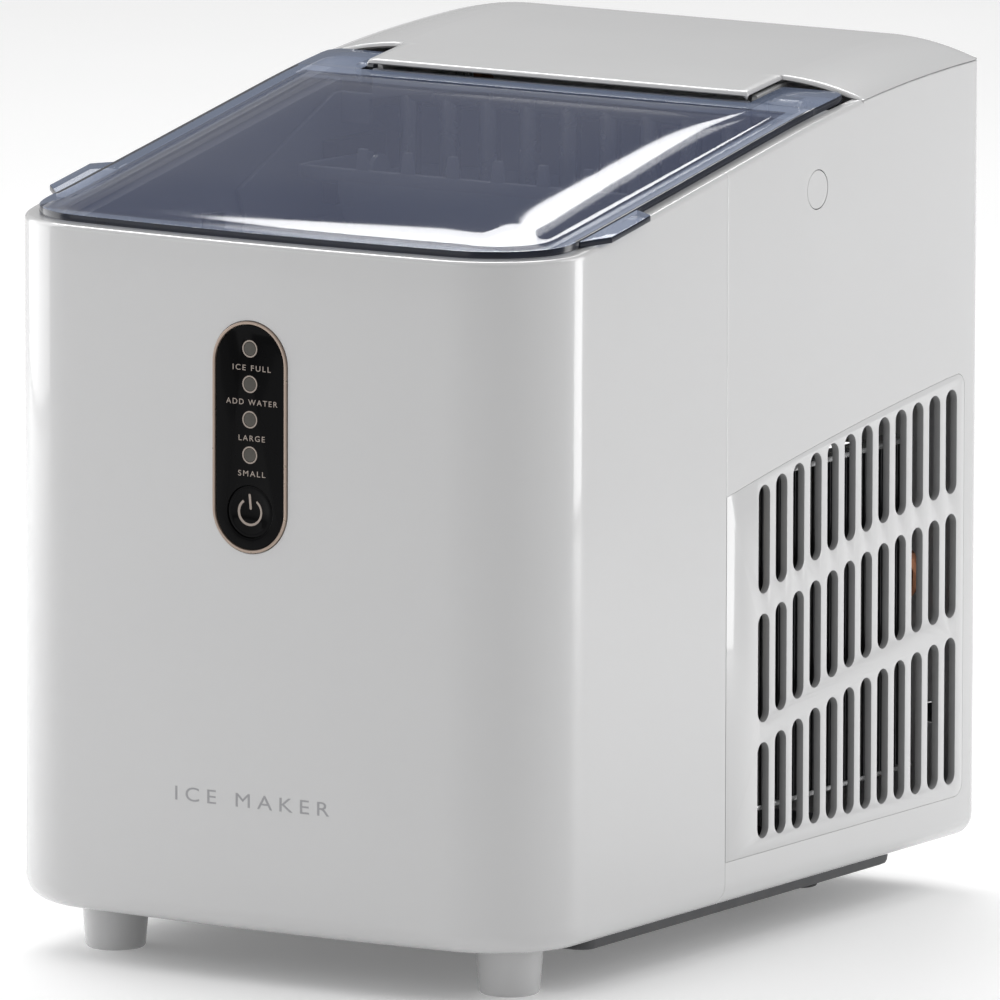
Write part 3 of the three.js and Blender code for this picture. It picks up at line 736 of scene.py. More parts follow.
def copper():
    finish = Finish("copper", (0.42, 0.20, 0.115), 0.4, Metallic=1.0)
    return finish.mottle(9, 0.12, tint=(0.27, 0.12, 0.07)).sheen_marks(4, 0.1).grain(0.8, 0.03,
                                                                                     0.15).material


# Painted shade: the aluminium fins are coloured near black for the dark of the closed space behind the grilles.
def fin_aluminium():
    finish = Finish("fin_aluminium", (0.10, 0.102, 0.105), 0.36, Metallic=0.8)
    return finish.mottle(15, 0.08).sheen_marks(5, 0.08).grain(0.7, 0.02, 0.15).material


def board_green():
    finish = Finish("board_green", (0.015, 0.11, 0.045), 0.45)
    return finish.mottle(3, 0.25).sheen_marks(2, 0.1).grain(1.2, 0.05, 0.3).material


def smoked_clear():
    finish = Finish("smoked_clear", (0.50, 0.55, 0.62), 0.18, Transmission_Weight=0.35, IOR=1.5)
    return finish.mottle(30, 0.04).sheen_marks(10, 0.05).grain(1.5, 0.02, 0.1).material


# Painted shade: near black and opaque, for the dark line that the clear lid's edge shows.
def lid_edge_painted_shade():
    finish = Finish("lid_edge_painted_shade", (0.008, 0.011, 0.022), 0.16, Specular_IOR_Level=0.4)
    return finish.mottle(10, 0.3).sheen_marks(6, 0.04).grain(3, 0.01, 0.05).material


def print_grey():
    return Finish("print_grey", (0.30, 0.30, 0.31),
                  0.4).mottle(5, 0.05).sheen_marks(3, 0.05).grain(0.5, 0.005, 0.1).material


def print_rose():
    return Finish("print_rose", (0.31, 0.26, 0.225),
                  0.4).mottle(5, 0.05).sheen_marks(3, 0.05).grain(0.5, 0.005, 0.1).material


def lamp_grey():
    finish = Finish("lamp_grey", (0.075, 0.07, 0.062), 0.35, Specular_IOR_Level=0.2)
    return finish.mottle(2, 0.1).sheen_marks(1.5, 0.05).grain(0.6, 0.02, 0.15).material


def floor_pale():
    finish = Finish("floor_pale", (0.92, 0.92, 0.92), 0.55, Emission_Color=(1, 1, 1, 1),
                    Emission_Strength=0.16)
    return finish.mottle(300, 0.005).sheen_marks(200, 0.05).grain(3, 0.02, 0.05).material


makers = (housing_white, slot_shade, lid_clear, lid_flange_painted_light, lid_edge_painted_shade, panel_black, rose_trim, liner_grey,
          dark_plastic, foam_cream, rubber_black, bright_steel, black_paint, copper, fin_aluminium,
          board_green, smoked_clear, print_grey, print_rose, lamp_grey, floor_pale)
look = {maker.__name__: maker() for maker in makers}


# ---- housing ----
def grille_top(behind):
    along = behind - 152.0
    return 165.2 + 0.1757 * along - 0.00025 * along * along


def grille_outline(grow=0.0):
    """The flush grille insert, as (distance behind the front, height) pairs."""
    low, rear, radius = 34.0 - grow, 290.5 + grow, 5.0 + grow
    front = SEAM + SEAM_GAP / 2 + 0.02 if grow == 0 else SEAM - 1.0
    top_end = grille_top(rear - radius) + grow
    points = [(front, low), (rear - radius, low)]
    points += [(rear - radius + radius * math.cos(t), low + radius + radius * math.sin(t))
               for t in arc(8, -90, 0)]
    points += [(rear - radius + radius * math.cos(t), top_end - radius + radius * math.sin(t))
               for t in arc(8, 0, 80)]
    steps = 24
    for i in range(1, steps + 1):
        behind = rear - radius + (front - rear + radius) * i / steps
        points.append((behind, grille_top(behind) + grow))
    return points


def grille_slots():
    """(distance behind the front, height, wide, long) of each slot."""
    slots = []
    for column in range(12):
        along = column * SLOT_PITCH
        top = SLOT_TOP + 0.2126 * along - 0.000636 * along * along
        for row in range(3):
            high = top - row * (SLOT_DROP - 0.0076 * along)
            low = high - SLOT_LONG + 0.008 * along if row < 2 else SLOT_FLOOR
            slots.append((SLOT_FIRST + along + SLOT_WIDE / 2, (high + low) / 2, SLOT_WIDE, high - low))
    return slots


def make_grilles():
    for name, side in (("grille_left", -1), ("grille_right", 1)):
        inner = WIDTH / 2 - WALL
        mesh = punched_plate(grille_outline(), grille_slots(), WALL, look["housing_white"],
                             lambda a, b, c: at(side * (inner + c), a, b))
        # Painted shade: faces that do not face sideways, the slot walls and the plate's edges, take the darker
        # slot colour.
        piece(name, bevelled(mesh, 0.18, 2, 50), look["housing_white"], flat_over=12,
              extra=[(look["slot_shade"], lambda polygon: abs(polygon.normal.x) < 0.3)])


def back_vents():
    """Stadium cutters for the rear vents, laid across."""
    model = prism("vent", stadium(4.8, 48, 0, 0, 8), lambda a, b, c: Vector((b * MM, c * MM, a * MM)), -9,
                  9)
    places = [at(side * 38, DEPTH, 96 + row * 11) for side in (-1, 1) for row in range(7)]
    return copies(model, places, look["housing_white"])


def make_shells():
    front = housing_half("front_shell", front_stations())
    window = prism("window", stadium(27.2, 77.2, 0, PANEL_Z), backward, -5, 12)
    pocket = prism("pocket", stadium(30.5, 80.5, 0, PANEL_Z), backward, -5, 2.1)
    front = cut(cut(front, pocket), window)
    piece("front_shell", front, look["housing_white"], stands_for=["front_shell"])

    rear = housing_half("rear_shell", rear_stations())
    rear = cut(rear, prism("tool", grille_outline(0.12), across, -130, 130))
    rear = cut(rear, back_vents())
    rear = cut(rear, prism("tool", disc(7.0, *CAP), across, -130, 130))
    holes = together("holes", [prism("hole", disc(3.8, x, z, 24), backward, DEPTH - 10, DEPTH + 10) for x,
                               z in SCREWS])
    rear = cut(rear, holes)
    rear = cut(rear, block("tool", (INLET[0] - 14.3, INLET[0] + 14.3), (DEPTH - 10, DEPTH + 5),
                           (INLET[1] - 12.3, INLET[1] + 12.3)))
    piece("rear_shell", rear, look["housing_white"], stands_for=["rear_shell"])


def crown_height(x, half):
    shoulder = max(0.0, abs(x) - CROWN_FLAT) / (half - CROWN_FLAT)
    return CROWN * (1 - min(1.0, shoulder) ** 2)


COVER_LIP = (0, 0.15, 0.45, 0.9, 1.4, 2.2)
COVER_LIP_RADIUS = 1.3
COVER_REAR_ROUND = 4.0
COVER_SHEET = 2.2


def cover_half(behind):
    """Half the cover's width, which follows the rear corners."""
    over = max(behind - (DEPTH - REAR_RADIUS), 0.0)
    return WIDTH / 2 - REAR_RADIUS + math.sqrt(max(REAR_RADIUS ** 2 - over ** 2, 0.0))


def edge_drop(inward, radius):
    """How far a rounded edge falls at a distance in from it."""
    return radius - math.sqrt(radius * radius - (radius - inward) ** 2) if 0 <= inward < radius else 0.0


def cover_surface(column, behind):
    half = cover_half(behind)
    beyond = abs(column) - TONGUE_HALF
    x = column
    if beyond > 0:
        x = math.copysign(TONGUE_HALF + beyond * (half - TONGUE_HALF) / (WIDTH / 2 - TONGUE_HALF), column)
    z = side_edge(behind) + crown_height(x, half)
    z -= edge_drop(behind - (EAR_EDGE if beyond > 0 else TONGUE_FRONT), COVER_LIP_RADIUS)
    z -= edge_drop(half - abs(x) if behind > EAR_EDGE else -beyond, COVER_LIP_RADIUS)
    z -= edge_drop(DEPTH - behind, COVER_REAR_ROUND)
    return at(x, behind, max(z, side_edge(behind)))


def cover_grid():
    """Columns and rows of the cover's surface, close together along its lips."""
    end = DEPTH - REAR_RADIUS
    half = [0, 12, 24, 36, 48, 60, 70, 74] + [TONGUE_HALF - d
                                              for d in reversed(COVER_LIP[:4])] + [TONGUE_HALF + 0.41]
    half += [82 + i * 2.9 for i in range(9)] + [WIDTH / 2 - d for d in reversed(COVER_LIP[:5])]
    half = sorted(set(round(x, 3) for x in half))
    rows = [TONGUE_FRONT + d for d in COVER_LIP] + [202, 206, 211, 216] + [EAR_EDGE + d for d in COVER_LIP]
    rows += [226 + 7 * i for i in range(10)] + [end + REAR_RADIUS * math.sin(t) for t in arc(10, 0, 82)]
    return [-x for x in reversed(half[1:])] + half, rows


def cover_skin():
    """The cover's outer surface with its tongue, drawn down at the back as a short apron."""
    columns, rows = cover_grid()
    points, index, faces = [], {}, []
    for r, behind in enumerate(rows):
        for c, x in enumerate(columns):
            if behind < EAR_EDGE - 0.01 and abs(x) > TONGUE_HALF + 0.001:
                continue
            index[r, c] = len(points)
            points.append(cover_surface(x, behind))
    last, low, levels = len(rows) - 1, side_edge(DEPTH) * MM, 3
    for level in range(1, levels + 1):
        for c in range(len(columns)):
            spot = points[index[last, c]].copy()
            spot.z += (low - spot.z) * level / levels
            spot.y += (DEPTH - rows[last]) * MM
            index[last + level, c] = len(points)
            points.append(spot)
    for r in range(last + levels):
        for c in range(len(columns) - 1):
            corners = [(r, c), (r, c + 1), (r + 1, c + 1), (r + 1, c)]
            if all(corner in index for corner in corners):
                faces.append([index[corner] for corner in corners])
    skin = tidied(mesh_of("top_cover", points, faces))
    upper = next(p for p in skin.polygons if p.center.z > 0.29 and abs(p.normal.z) > 0.9)
    if upper.normal.z < 0:
        skin.flip_normals()
    return skin


def cover_wall():
    """The skin given its thickness, its inner side kept within the housing's wall."""
    thing = object_of("work", cover_skin())
    solid = thing.modifiers.new("wall", "SOLIDIFY")
    solid.thickness = COVER_SHEET * MM
    solid.offset = -1.0
    solid.use_even_offset = False
    wall = evaluated(thing)
    inner_x, inner_y = (WIDTH / 2 - WALL - 0.1) * MM, (DEPTH / 2 - WALL - 0.1) * MM
    for vertex in list(wall.vertices)[len(wall.vertices) // 2:]:
        behind = vertex.co.y / MM + DEPTH / 2
        if behind <= EAR_EDGE:
            continue
        if abs(vertex.co.x) > (WIDTH / 2 - 0.1) * MM:
            vertex.co.z = (side_edge(behind) - 0.1) * MM
        vertex.co.x = min(max(vertex.co.x, -inner_x), inner_x)
        vertex.co.y = min(vertex.co.y, inner_y)
    return wall


def make_cover():
    profile = [(204, 280), (224, 280), (224, 292.3), (204, 289.6)]
    cheeks = [bevelled(prism("cheek", profile, across, min(s * 75.6, s * 77.9), max(s * 75.6, s * 77.9)),
                       0.4)
              for s in (-1, 1)]
    skin = cover_wall()
    mesh = together("top_cover", [tidied(skin), *cheeks])
    piece("top_cover", mesh, look["housing_white"], stands_for=["top_cover"])


make_shells()
make_grilles()
make_cover()


# ---- lid ----
LID_SIDE = WIDTH / 2 - LID_INSET
TAB_FRONT = 42
TAB_REAR = 79
LID_FLANGE = 7.0
LID_DOME = 50.0
LID_RISE = 8.0


def lid_rise(inward):
    """The dome over the flange at a distance in from the edge, steepest at the flange and flat in the middle."""
    along = min(max((inward - LID_FLANGE) / LID_DOME, 0.0), 1.0)
    foot = 0.05
    lifted = math.sqrt(along * along + foot * foot) - foot
    return 1 - (1 - lifted / (math.sqrt(1 + foot * foot) - foot)) ** 2.7


def lid_top(behind, inward):
    soft_edge = 0.5 - math.sqrt(0.25 - (0.5 - inward) ** 2) if inward < 0.5 else 0.0
    return side_edge(behind) + LID_LIFT + LID_SHEET + LID_RISE * lid_rise(inward) - soft_edge


def mellow_inset(x, behind, inward):
    """The distance in from the lid's edge with the mitred corners blended, deeper in."""
    gaps = [LID_SIDE - abs(x), behind - bowed(x, PROUD + LID_INSET, LID_SIDE), LID_REAR - behind]
    soft = -9.0 * math.log(sum(math.exp(-gap / 9.0) for gap in gaps))
    blend = min(max((inward - 16.0) / 20.0, 0.0), 1.0)
    return inward + (max(soft, 0.0) - inward) * blend


def strip_along(reach, low, high, stops):
    """A bar following the side walls' slope; reach(behind) gives its inner and outer edge across."""
    rings = []
    for behind in stops:
        inner, outer = reach(behind)
        base = side_edge(behind)
        rings.append([at(inner, behind, base + low), at(outer, behind, base + low),
                      at(outer, behind, base + high), at(inner, behind, base + high)])
    return loft("strip", rings)


def lid_skin():
    """The lid's top drawn out from its middle to its edge, and its underside drawn back in."""
    insets = [0, 0.15, 0.5, 1, 2, 4, 5.5, 6.4, 7, 7.6, 8.4, 9.4, 10.6, 12, 13.5, 15, 17, 19, 21, 23, 25.5,
              28, 31, 34]
    insets += [37, 40, 44, 48, 52, 56, 62, 68, 74, 80, 86, 92]
    top, low = [], []
    for inward in reversed(insets):
        outline = plan_outline(LID_INSET + inward, LID_REAR - inward, 1.0)
        heights = [lid_top(behind, mellow_inset(x, behind, inward)) for x, behind in outline]
        top.append([at(x, behind, z) for (x, behind), z in zip(outline, heights)])
        drop = LID_SHEET - 0.2 - (0.5 if inward == 0 else 0.15 if inward == 0.15 else 0.0)
        low.insert(0, [at(x, behind, z - drop) for (x, behind), z in zip(outline, heights)])
    return loft("lid", top + low)


def lid_fittings(side):
    """The ear, the tab and the hinge knuckle on one side."""
    def ear_reach(behind):
        over = max(behind - (EAR_REAR - 5), 0.0)
        return side * (TONGUE_HALF + 1.5), side * (LID_SIDE - 0.05 - over * over * 0.16)

    def tab_reach(behind):
        full = min(1.0, max(0.05, (behind - TAB_FRONT) / 8), max(0.05, (TAB_REAR + 0.2 - behind) / 4))
        return side * (LID_SIDE - 2), side * (LID_SIDE + 8 * full)

    ear_stops = [LID_REAR - 3] + [LID_REAR + 2 + (EAR_REAR - LID_REAR - 2) * i / 6 for i in range(7)]
    tab_stops = [TAB_FRONT, 43, 44.5, 46, 48, 50, 54, 60, 66, 72, 75, 76.5, 77.8, TAB_REAR]
    ear = bevelled(strip_along(ear_reach, LID_LIFT, LID_LIFT + LID_SHEET, ear_stops), 0.35, 2, 50)
    tab = bevelled(strip_along(tab_reach, LID_LIFT, LID_LIFT + 2.2, tab_stops), 0.3, 2, 50)
    profile = [(0, 79.6), (4.6, 79.6), (5, 80), (5, 89.6), (4.6, 90), (0, 90)]
    knuckle = spun("knuckle", [(radius, side * x) for radius, x in profile], across, HINGE_AT, HINGE_Z)
    return ear, tab, knuckle


def make_lid():
    lid = lid_skin()
    for side in (-1, 1):
        for part in lid_fittings(side):
            lid = cut(lid, part, "UNION")
    for span in ((-95, -75), (75, 95)):
        lid = cut(lid, prism("bore", disc(2.35, HINGE_AT, HINGE_Z, 32), across, *span))

    # Painted light: the flange band takes the lighter film colour.
    def on_flange(polygon):
        x, behind = abs(polygon.center.x) / MM, polygon.center.y / MM + DEPTH / 2
        front = bowed(x, PROUD + LID_INSET, LID_SIDE)
        return min(LID_SIDE - x, behind - front, LID_REAR - behind) < LID_FLANGE

    # Painted shade: the lid's edge faces, and a thin band along each side of its top, wider on the left, take
    # the near-black edge colour.
    def on_edge(polygon):
        x, behind = polygon.center.x / MM, polygon.center.y / MM + DEPTH / 2
        beside = LID_SIDE - (0.8 if x > 0 else 1.6) < abs(x) < LID_SIDE + 0.1 and 40 < behind < LID_REAR
        return abs(polygon.normal.z) < 0.55 or beside

    piece("lid", lid, look["lid_clear"], body="lid", stands_for=["lid"],
          extra=[(look["lid_flange_painted_light"], on_flange), (look["lid_edge_painted_shade"], on_edge)])


# ---- control panel and lettering ----
LENS_AT = 0.5          # the lens's face behind the trim's
DISH_RADIUS = 24.0     # of the hollow in the power button


def lettering(words, size, x, z, depth_of, wide, spacing=1.0, thickness=0.06, weight=0.0):
    """Flat letters about (x, z), drawn out to a width and laid on a surface given by depth_of(x, z)."""
    font = bpy.data.curves.new("lettering", "FONT")
    font.body = words
    font.size = size
    font.align_x, font.align_y = "CENTER", "CENTER"
    font.space_character = spacing
    font.resolution_u = 6
    font.extrude = thickness / 2
    font.offset = weight
    thing = bpy.data.objects.new("lettering", font)
    bpy.context.scene.collection.objects.link(thing)
    mesh = tidied(evaluated(thing))
    across_letters = [vertex.co.x for vertex in mesh.vertices]
    middle, stretch = (max(across_letters) + min(across_letters)) / 2, wide / (max(across_letters)
                                                                               - min(across_letters))
    for vertex in mesh.vertices:
        a, b, c = (vertex.co.x - middle) * stretch, vertex.co.y, vertex.co.z
        vertex.co = at(x + a, depth_of(x + a, z + b) - c, z + b)
    return tidied(mesh)


def front_face(x, _height):
    return bowed(x, PROUD, WIDTH / 2)


def lens_face(_x, _height):
    return LENS_AT


def key_face(x, z):
    """The dished face of the power button."""
    away = x * x + (z - BUTTON_Z) ** 2
    return max(0.8, 2.1 - DISH_RADIUS + math.sqrt(DISH_RADIUS ** 2 - away))


def power_mark():
    """A ring open at the top with a short upright stroke."""
    turns = arc(40, 125, 415)
    middle = BUTTON_Z - 0.2
    ring = [(4.85 * math.cos(t) - 0.6, middle + 4.85 * math.sin(t)) for t in turns]
    ring += [(4.05 * math.cos(t) - 0.6, middle + 4.05 * math.sin(t)) for t in reversed(turns)]
    stroke = stadium(0.85, 5.6, -0.6, BUTTON_Z + 3.3, 6)
    rings = []
    half = len(turns)
    for offset in (-0.04, 0.04):
        rings.append([at(a, key_face(a, b) + offset, b) for a, b in ring])
    points = rings[0] + rings[1]
    total = 2 * half
    faces = []
    for i in range(half - 1):
        j = total - 1 - i
        faces.append((i, i + 1, j - 1, j))
        faces.append((total + i, total + j, total + j - 1, total + i + 1))
        faces.append((i, total + i, total + i + 1, i + 1))
        faces.append((j, j - 1, total + j - 1, total + j))
    faces += [(0, total - 1, 2 * total - 1, total), (half - 1, total + half - 1, total + half, half)]
    mark = tidied(mesh_of("ring", points, faces))
    bar = loft("bar", [[at(a, key_face(a, b) + offset, b) for a, b in stroke] for offset in (-0.04, 0.04)])
    return together("power_mark", [mark, bar])


def make_panel():
    section = [(0, 2.0), (0, 0.4), (0.12, 0.12), (0.3, 0), (0.8, 0), (1.0, 0.1), (1.12, 0.35), (1.15, 0.8),
               (1.15, 2.0)]
    rings = [[at(x, d, z) for x, z in stadium(30 - 2 * g, 80 - 2 * g, 0, PANEL_Z, 32)] for g, d in section]
    piece("panel_trim", loft("panel_trim", rings, closed=True), look["rose_trim"],
          stands_for=["panel_trim"])

    lens = prism("lens", stadium(27.4, 77.4, 0, PANEL_Z, 32), backward, 0.5, 4)
    lens = bevelled(cut(lens, prism("hole", disc(9.15, 0, BUTTON_Z, 64), backward, -2, 8)), 0.2, 3, 50)
    piece("panel_lens", lens, look["panel_black"], stands_for=["panel_lens"])

    dish = [(r, 2.1 - DISH_RADIUS + math.sqrt(DISH_RADIUS ** 2 - r * r))
            for r in (0, 1, 2, 3, 4, 5, 6, 7, 7.6)]
    profile = dish + [(7.95, 0.8), (8.6, 0.8), (8.9, 0.95), (9, 1.3), (9, 6), (0, 6)]
    piece("power_button", spun("power_button", profile, backward, 0, BUTTON_Z, 64), look["panel_black"],
          body="power_button", stands_for=["power_button"])
    piece("power_mark", power_mark(), look["print_rose"], body="power_button")

    spots = [at(0, 0.5, z) for z in LAMPS]
    window = spun("lamp", [(0, -0.12), (1.6, -0.1), (2.3, -0.05), (2.5, 0.3), (0, 0.3)], facing_part, 0, 0,
                  32)
    piece("lamp_windows", copies(window, spots, look["lamp_grey"]), look["lamp_grey"])
    ring = [[facing_part(r * math.cos(t), r * math.sin(t), d) for t in arc(32, 0, 360)[:-1]]
            for r, d in ((2.5, 0.1), (2.5, -0.05), (3.0, -0.05), (3.0, 0.1))]
    piece("lamp_rings", copies(loft("ring", ring, closed=True), spots, look["print_rose"]),
          look["print_rose"])
    labels = [("ICE FULL", 213.8, 15.4), ("ADD WATER", 202.0, 20.7), ("LARGE", 189.6, 10.6),
              ("SMALL", 177.4, 11.0)]
    words = [lettering(text, 2.75, 0.8, z, lens_face, wide, 1.3, weight=0.012) for text, z, wide in labels]
    piece("panel_labels", together("labels", words), look["print_rose"])
    title = lettering("ICE MAKER", 7.0, 0.6, 64.0, front_face, 62.5, 1.5, 0.08)
    piece("front_lettering", title, look["print_grey"])


# ---- feet, base pan, fasteners ----
def make_feet():
    front = [(0, 0.6), (8.2, 0.6), (8.6, 0), (9.6, 0), (10.1, 0.35), (10.5, 1.2), (11.9, FOOT - 0.6),
             (12, FOOT), (0, FOOT)]
    for name, side in (("front_foot_left", -1), ("front_foot_right", 1)):
        piece(name, spun(name, front, upright, side * FRONT_FEET[0], FRONT_FEET[1], 64),
              look["housing_white"], stands_for=[name])
    rear = [(0, 0.5), (6, 0.5), (6.5, 0), (8.2, 0), (8.9, 0.4), (9.4, 1.2), (9.8, FOOT), (0, FOOT)]
    for name, side in (("rear_foot_left", -1), ("rear_foot_right", 1)):
        piece(name, spun(name, rear, upright, side * REAR_FEET[0], REAR_FEET[1], 48), look["rubber_black"],
              stands_for=[name])


def make_base():
    plate = prism("plate", plan_outline(11.3, DEPTH - 11.3, 5), upright, FOOT + 0.3, 21)
    sump = loft("sump",
                [[upright(a, b, c) for a, b in oblong((-101 + g, 101 - g), (57 + g, 262 - g), 6 - g / 2)]
                         for g, c in ((0, FOOT + 1), (0.6, 14.6), (1.1, 13.6), (2.4, 13))])
    room = prism("room", oblong((-98.5, 98.5), (59.5, 259.5), 4), upright, 15.5, 40)
    pan = cut(cut(plate, sump, "UNION"), room)
    slot = prism("slot", oblong((-30, 30), (-2, 2), 1.99), upright_part, -12, 12)
    pan = cut(pan, copies(slot, [at(0, 92 + 10 * i, 15) for i in range(5)], look["dark_plastic"]))
    pan = cut(pan, prism("hole", disc(4, *DRAIN, 32), upright, 0, 30))
    piece("base_pan", pan, look["dark_plastic"], stands_for=["base_pan"], flat_over=60)
    plug = [(0, 10.3), (5.2, 10.3), (6.1, 10.6), (6.5, 11.3), (6.5, 12.7), (3.7, 12.7), (3.7, 16), (0, 16)]
    piece("drain_plug", spun("drain_plug", plug, upright, *DRAIN), look["rubber_black"],
          stands_for=["drain_plug"])


def make_fasteners():
    for name, side in (("side_cap_left", -1), ("side_cap_right", 1)):
        profile = [(0, 108.5), (6.75, 108.5), (6.75, 110.75), (6.6, 110.95), (0, 110.95)]
        profile = [(radius, side * x) for radius, x in profile]
        piece(name, spun(name, profile, across, *CAP, 64), look["housing_white"], stands_for=[name])
    head = [(0, -0.2), (2.2, -0.25), (3.1, 0), (3.5, 0.5), (3.5, 2), (0, 2)]
    screw = spun("screw", head, facing_part, 0, 0, 40)
    for turn in (0, 90):
        arm = oblong((-1.9, 1.9), (-0.35, 0.35)) if turn == 0 else oblong((-0.35, 0.35), (-1.9, 1.9))
        screw = cut(screw, prism("arm", arm, facing_part, -1, 0.9))
    spots = [at(x, DEPTH - 0.5, z) for x, z in SCREWS]
    screws = copies(screw, spots, look["bright_steel"], turns=[(math.pi, 0, 0)] * 4)
    piece("rear_screws", screws, look["bright_steel"], stands_for=[f"rear_screw_{i}" for i in range(1, 5)])
    x, z = INLET
    shell = bevelled(prism("shell", oblong((x - 14, x + 14), (z - 12, z + 12), 2.5), backward, 284,
                           DEPTH - 0.3), 0.4, 2, 50)
    hollow = [(x - 10, z - 8), (x + 10, z - 8), (x + 10, z + 4), (x + 6, z + 8), (x - 6, z + 8),
              (x - 10, z + 4)]
    shell = cut(shell, prism("hollow", hollow, backward, 290, DEPTH + 5))
    pin = bevelled(prism("pin", oblong((-1, 1), (-2.5, 2.5)), facing_part, -5, 4), 0.3)
    pins = copies(pin, [at(x + a, 294, z) for a in (-6, 0, 6)], look["bright_steel"])
    piece("power_inlet", shell, look["rubber_black"], stands_for=["power_inlet"])
    piece("inlet_pins", pins, look["bright_steel"])


# ---- ice chamber ----
TANK_INSET = 16.8
TANK_WALL = 2.2


def slope_prism(offset, start, end, top=400.0):
    """Everything above the side walls' slope plus an offset."""
    steps = 24
    line = [(start + (end - start) * i / steps, side_edge(start + (end - start) * i / steps) + offset)
            for i in range(steps + 1)]
    return prism("slope", [*line, (end, top), (start, top)], across, -150, 150)


def tank_form(inset, step_rear, rear, floor, shelf, soft):
    low = bevelled(prism("low", plan_outline(inset, step_rear, 4), upright, floor, 330), soft, 5)
    high = bevelled(prism("high", plan_outline(inset, rear, 4), upright, shelf, 330), soft, 5)
    return cut(low, high, "UNION")


def make_tank():
    outer = tank_form(TANK_INSET, 150, 238, 112, 205, 5)
    wall = TANK_WALL
    inner = tank_form(TANK_INSET + wall, 150 - wall, 238 - wall, 112 + wall, 205 + wall, 4)
    flange = cut(prism("flange", plan_outline(10, 200, 2), upright, 200, 330), slope_prism(-6.2, -20, 215),
                 "INTERSECT")
    tank = cut(cut(outer, flange, "UNION"), inner)
    tank = cut(tank, slope_prism(-3.3, -20, 203))
    tank = cut(tank, block("above", (-150, 150), (202.9, 260), (270, 400)))
    piece("inner_tank", tank, look["liner_grey"], stands_for=["inner_tank"])


def make_shroud():
    half = 78.0
    arch = [(-90.5, 279), (-90.5, 268), (-half, 268), (-half, 277)]
    arch += [(x, 277 + 7.3 * (1 - (x / half) ** 2))
             for x in [-half + 2 * half * i / 40 for i in range(1, 40)]]
    arch += [(half, 277), (half, 268), (90.5, 268), (90.5, 279), (77, 279), (77, 288), (-77, 288),
             (-77, 279)]
    face = bevelled(prism("face", arch, backward, 199, 201.4), 0.5, 2, 50)
    cheek = [(195, 279), (133, 252), (137, 242), (137, 236), (230, 236), (230, 262), (203, 279)]
    sides = [bevelled(prism("cheek", cheek, across, *sorted((s * 89.6, s * 91.6))), 0.6, 3, 20)
             for s in (-1, 1)]
    piece("evaporator_shroud", together("shroud", [face, *sides]), look["liner_grey"],
          stands_for=["evaporator_shroud"])


def make_evaporator():
    high, row, reach = 280, 206.8, 69.5
    run = [(-reach, 248, high), (-reach, 232, high), (-reach, row, high), (-reach + 10, row, high),
           (0, row, high),
           (reach - 10, row, high), (reach, row, high), (reach, 232, high), (reach, 248, high)]
    finger = spun("finger", [(0, 238), (1.4, 238.15), (2.6, 239), (3.4, 240.4), (3.9, 242.6), (4, 244),
                             (4, 279), (0, 279)],
                  upright_part, 0, 0, 32)
    spots = [at((i - 4) * 16.5, row, 0) for i in range(9)]
    cold = together("evaporator", [pipe(run, 4), copies(finger, spots, look["bright_steel"])])
    piece("evaporator", cold, look["bright_steel"], stands_for=["evaporator"])


def half_disc(radius, lift=0.0, steps=40):
    behind, height = TRAY_AXIS
    points = [(behind + radius * math.cos(t), height + radius * math.sin(t)) for t in arc(steps, 180, 360)]
    return [(points[0][0], points[0][1] + lift), *points[1:-1], (points[-1][0], points[-1][1] + lift)]


def make_tray():
    end = 75.5
    tray = bevelled(prism("tray", half_disc(26), across, -end, end), 0.5, 2, 50)
    tray = cut(tray, bevelled(prism("room", half_disc(24, 5), across, -end + 2, end - 2), 1.2, 3, 50))
    for side in (-1, 1):
        boss = [(0, side * 73.6), (6, side * 73.6), (6, side * 75.3), (5.7, side * 75.6), (3, side * 75.6),
                (3, side * 82.4),
                (2.6, side * 82.8), (0, side * 82.8)]
        tray = cut(tray, spun("boss", boss, across, *TRAY_AXIS, 40), "UNION")
    piece("water_tray", tray, look["smoked_clear"], body="water_tray", stands_for=["water_tray"])


def make_pusher():
    half = 81
    arm = [(157, 259), (157, 254), (162, 253), (196, 246), (204, 246), (206, 252), (204, 258), (196, 258),
           (164, 259)]
    bar = bevelled(block("bar", (-half + 0.3, half - 0.3), (158, 161), (254, 258.5)), 0.5, 2)
    arms = [cut(bevelled(prism("arm", arm, across, *sorted((s * 79.2, s * half))), 0.35, 2, 20),
                prism("hole", disc(3.6, *TRAY_AXIS, 32), across, -90, 90)) for s in (-1, 1)]
    tooth = bevelled(prism("tooth", [(-2.6, -1), (2.6, -1), (1.6, 8), (-1.6, 8)], facing_part, -1.1, 1.1),
                     0.4, 3)
    teeth = copies(tooth, [at(i * 18.5, 159.5, 258) for i in range(-3, 4)], look["liner_grey"])
    piece("ice_pusher", together("ice_pusher", [bar, *arms, teeth]), look["liner_grey"], body="ice_pusher",
          stands_for=["ice_pusher"])


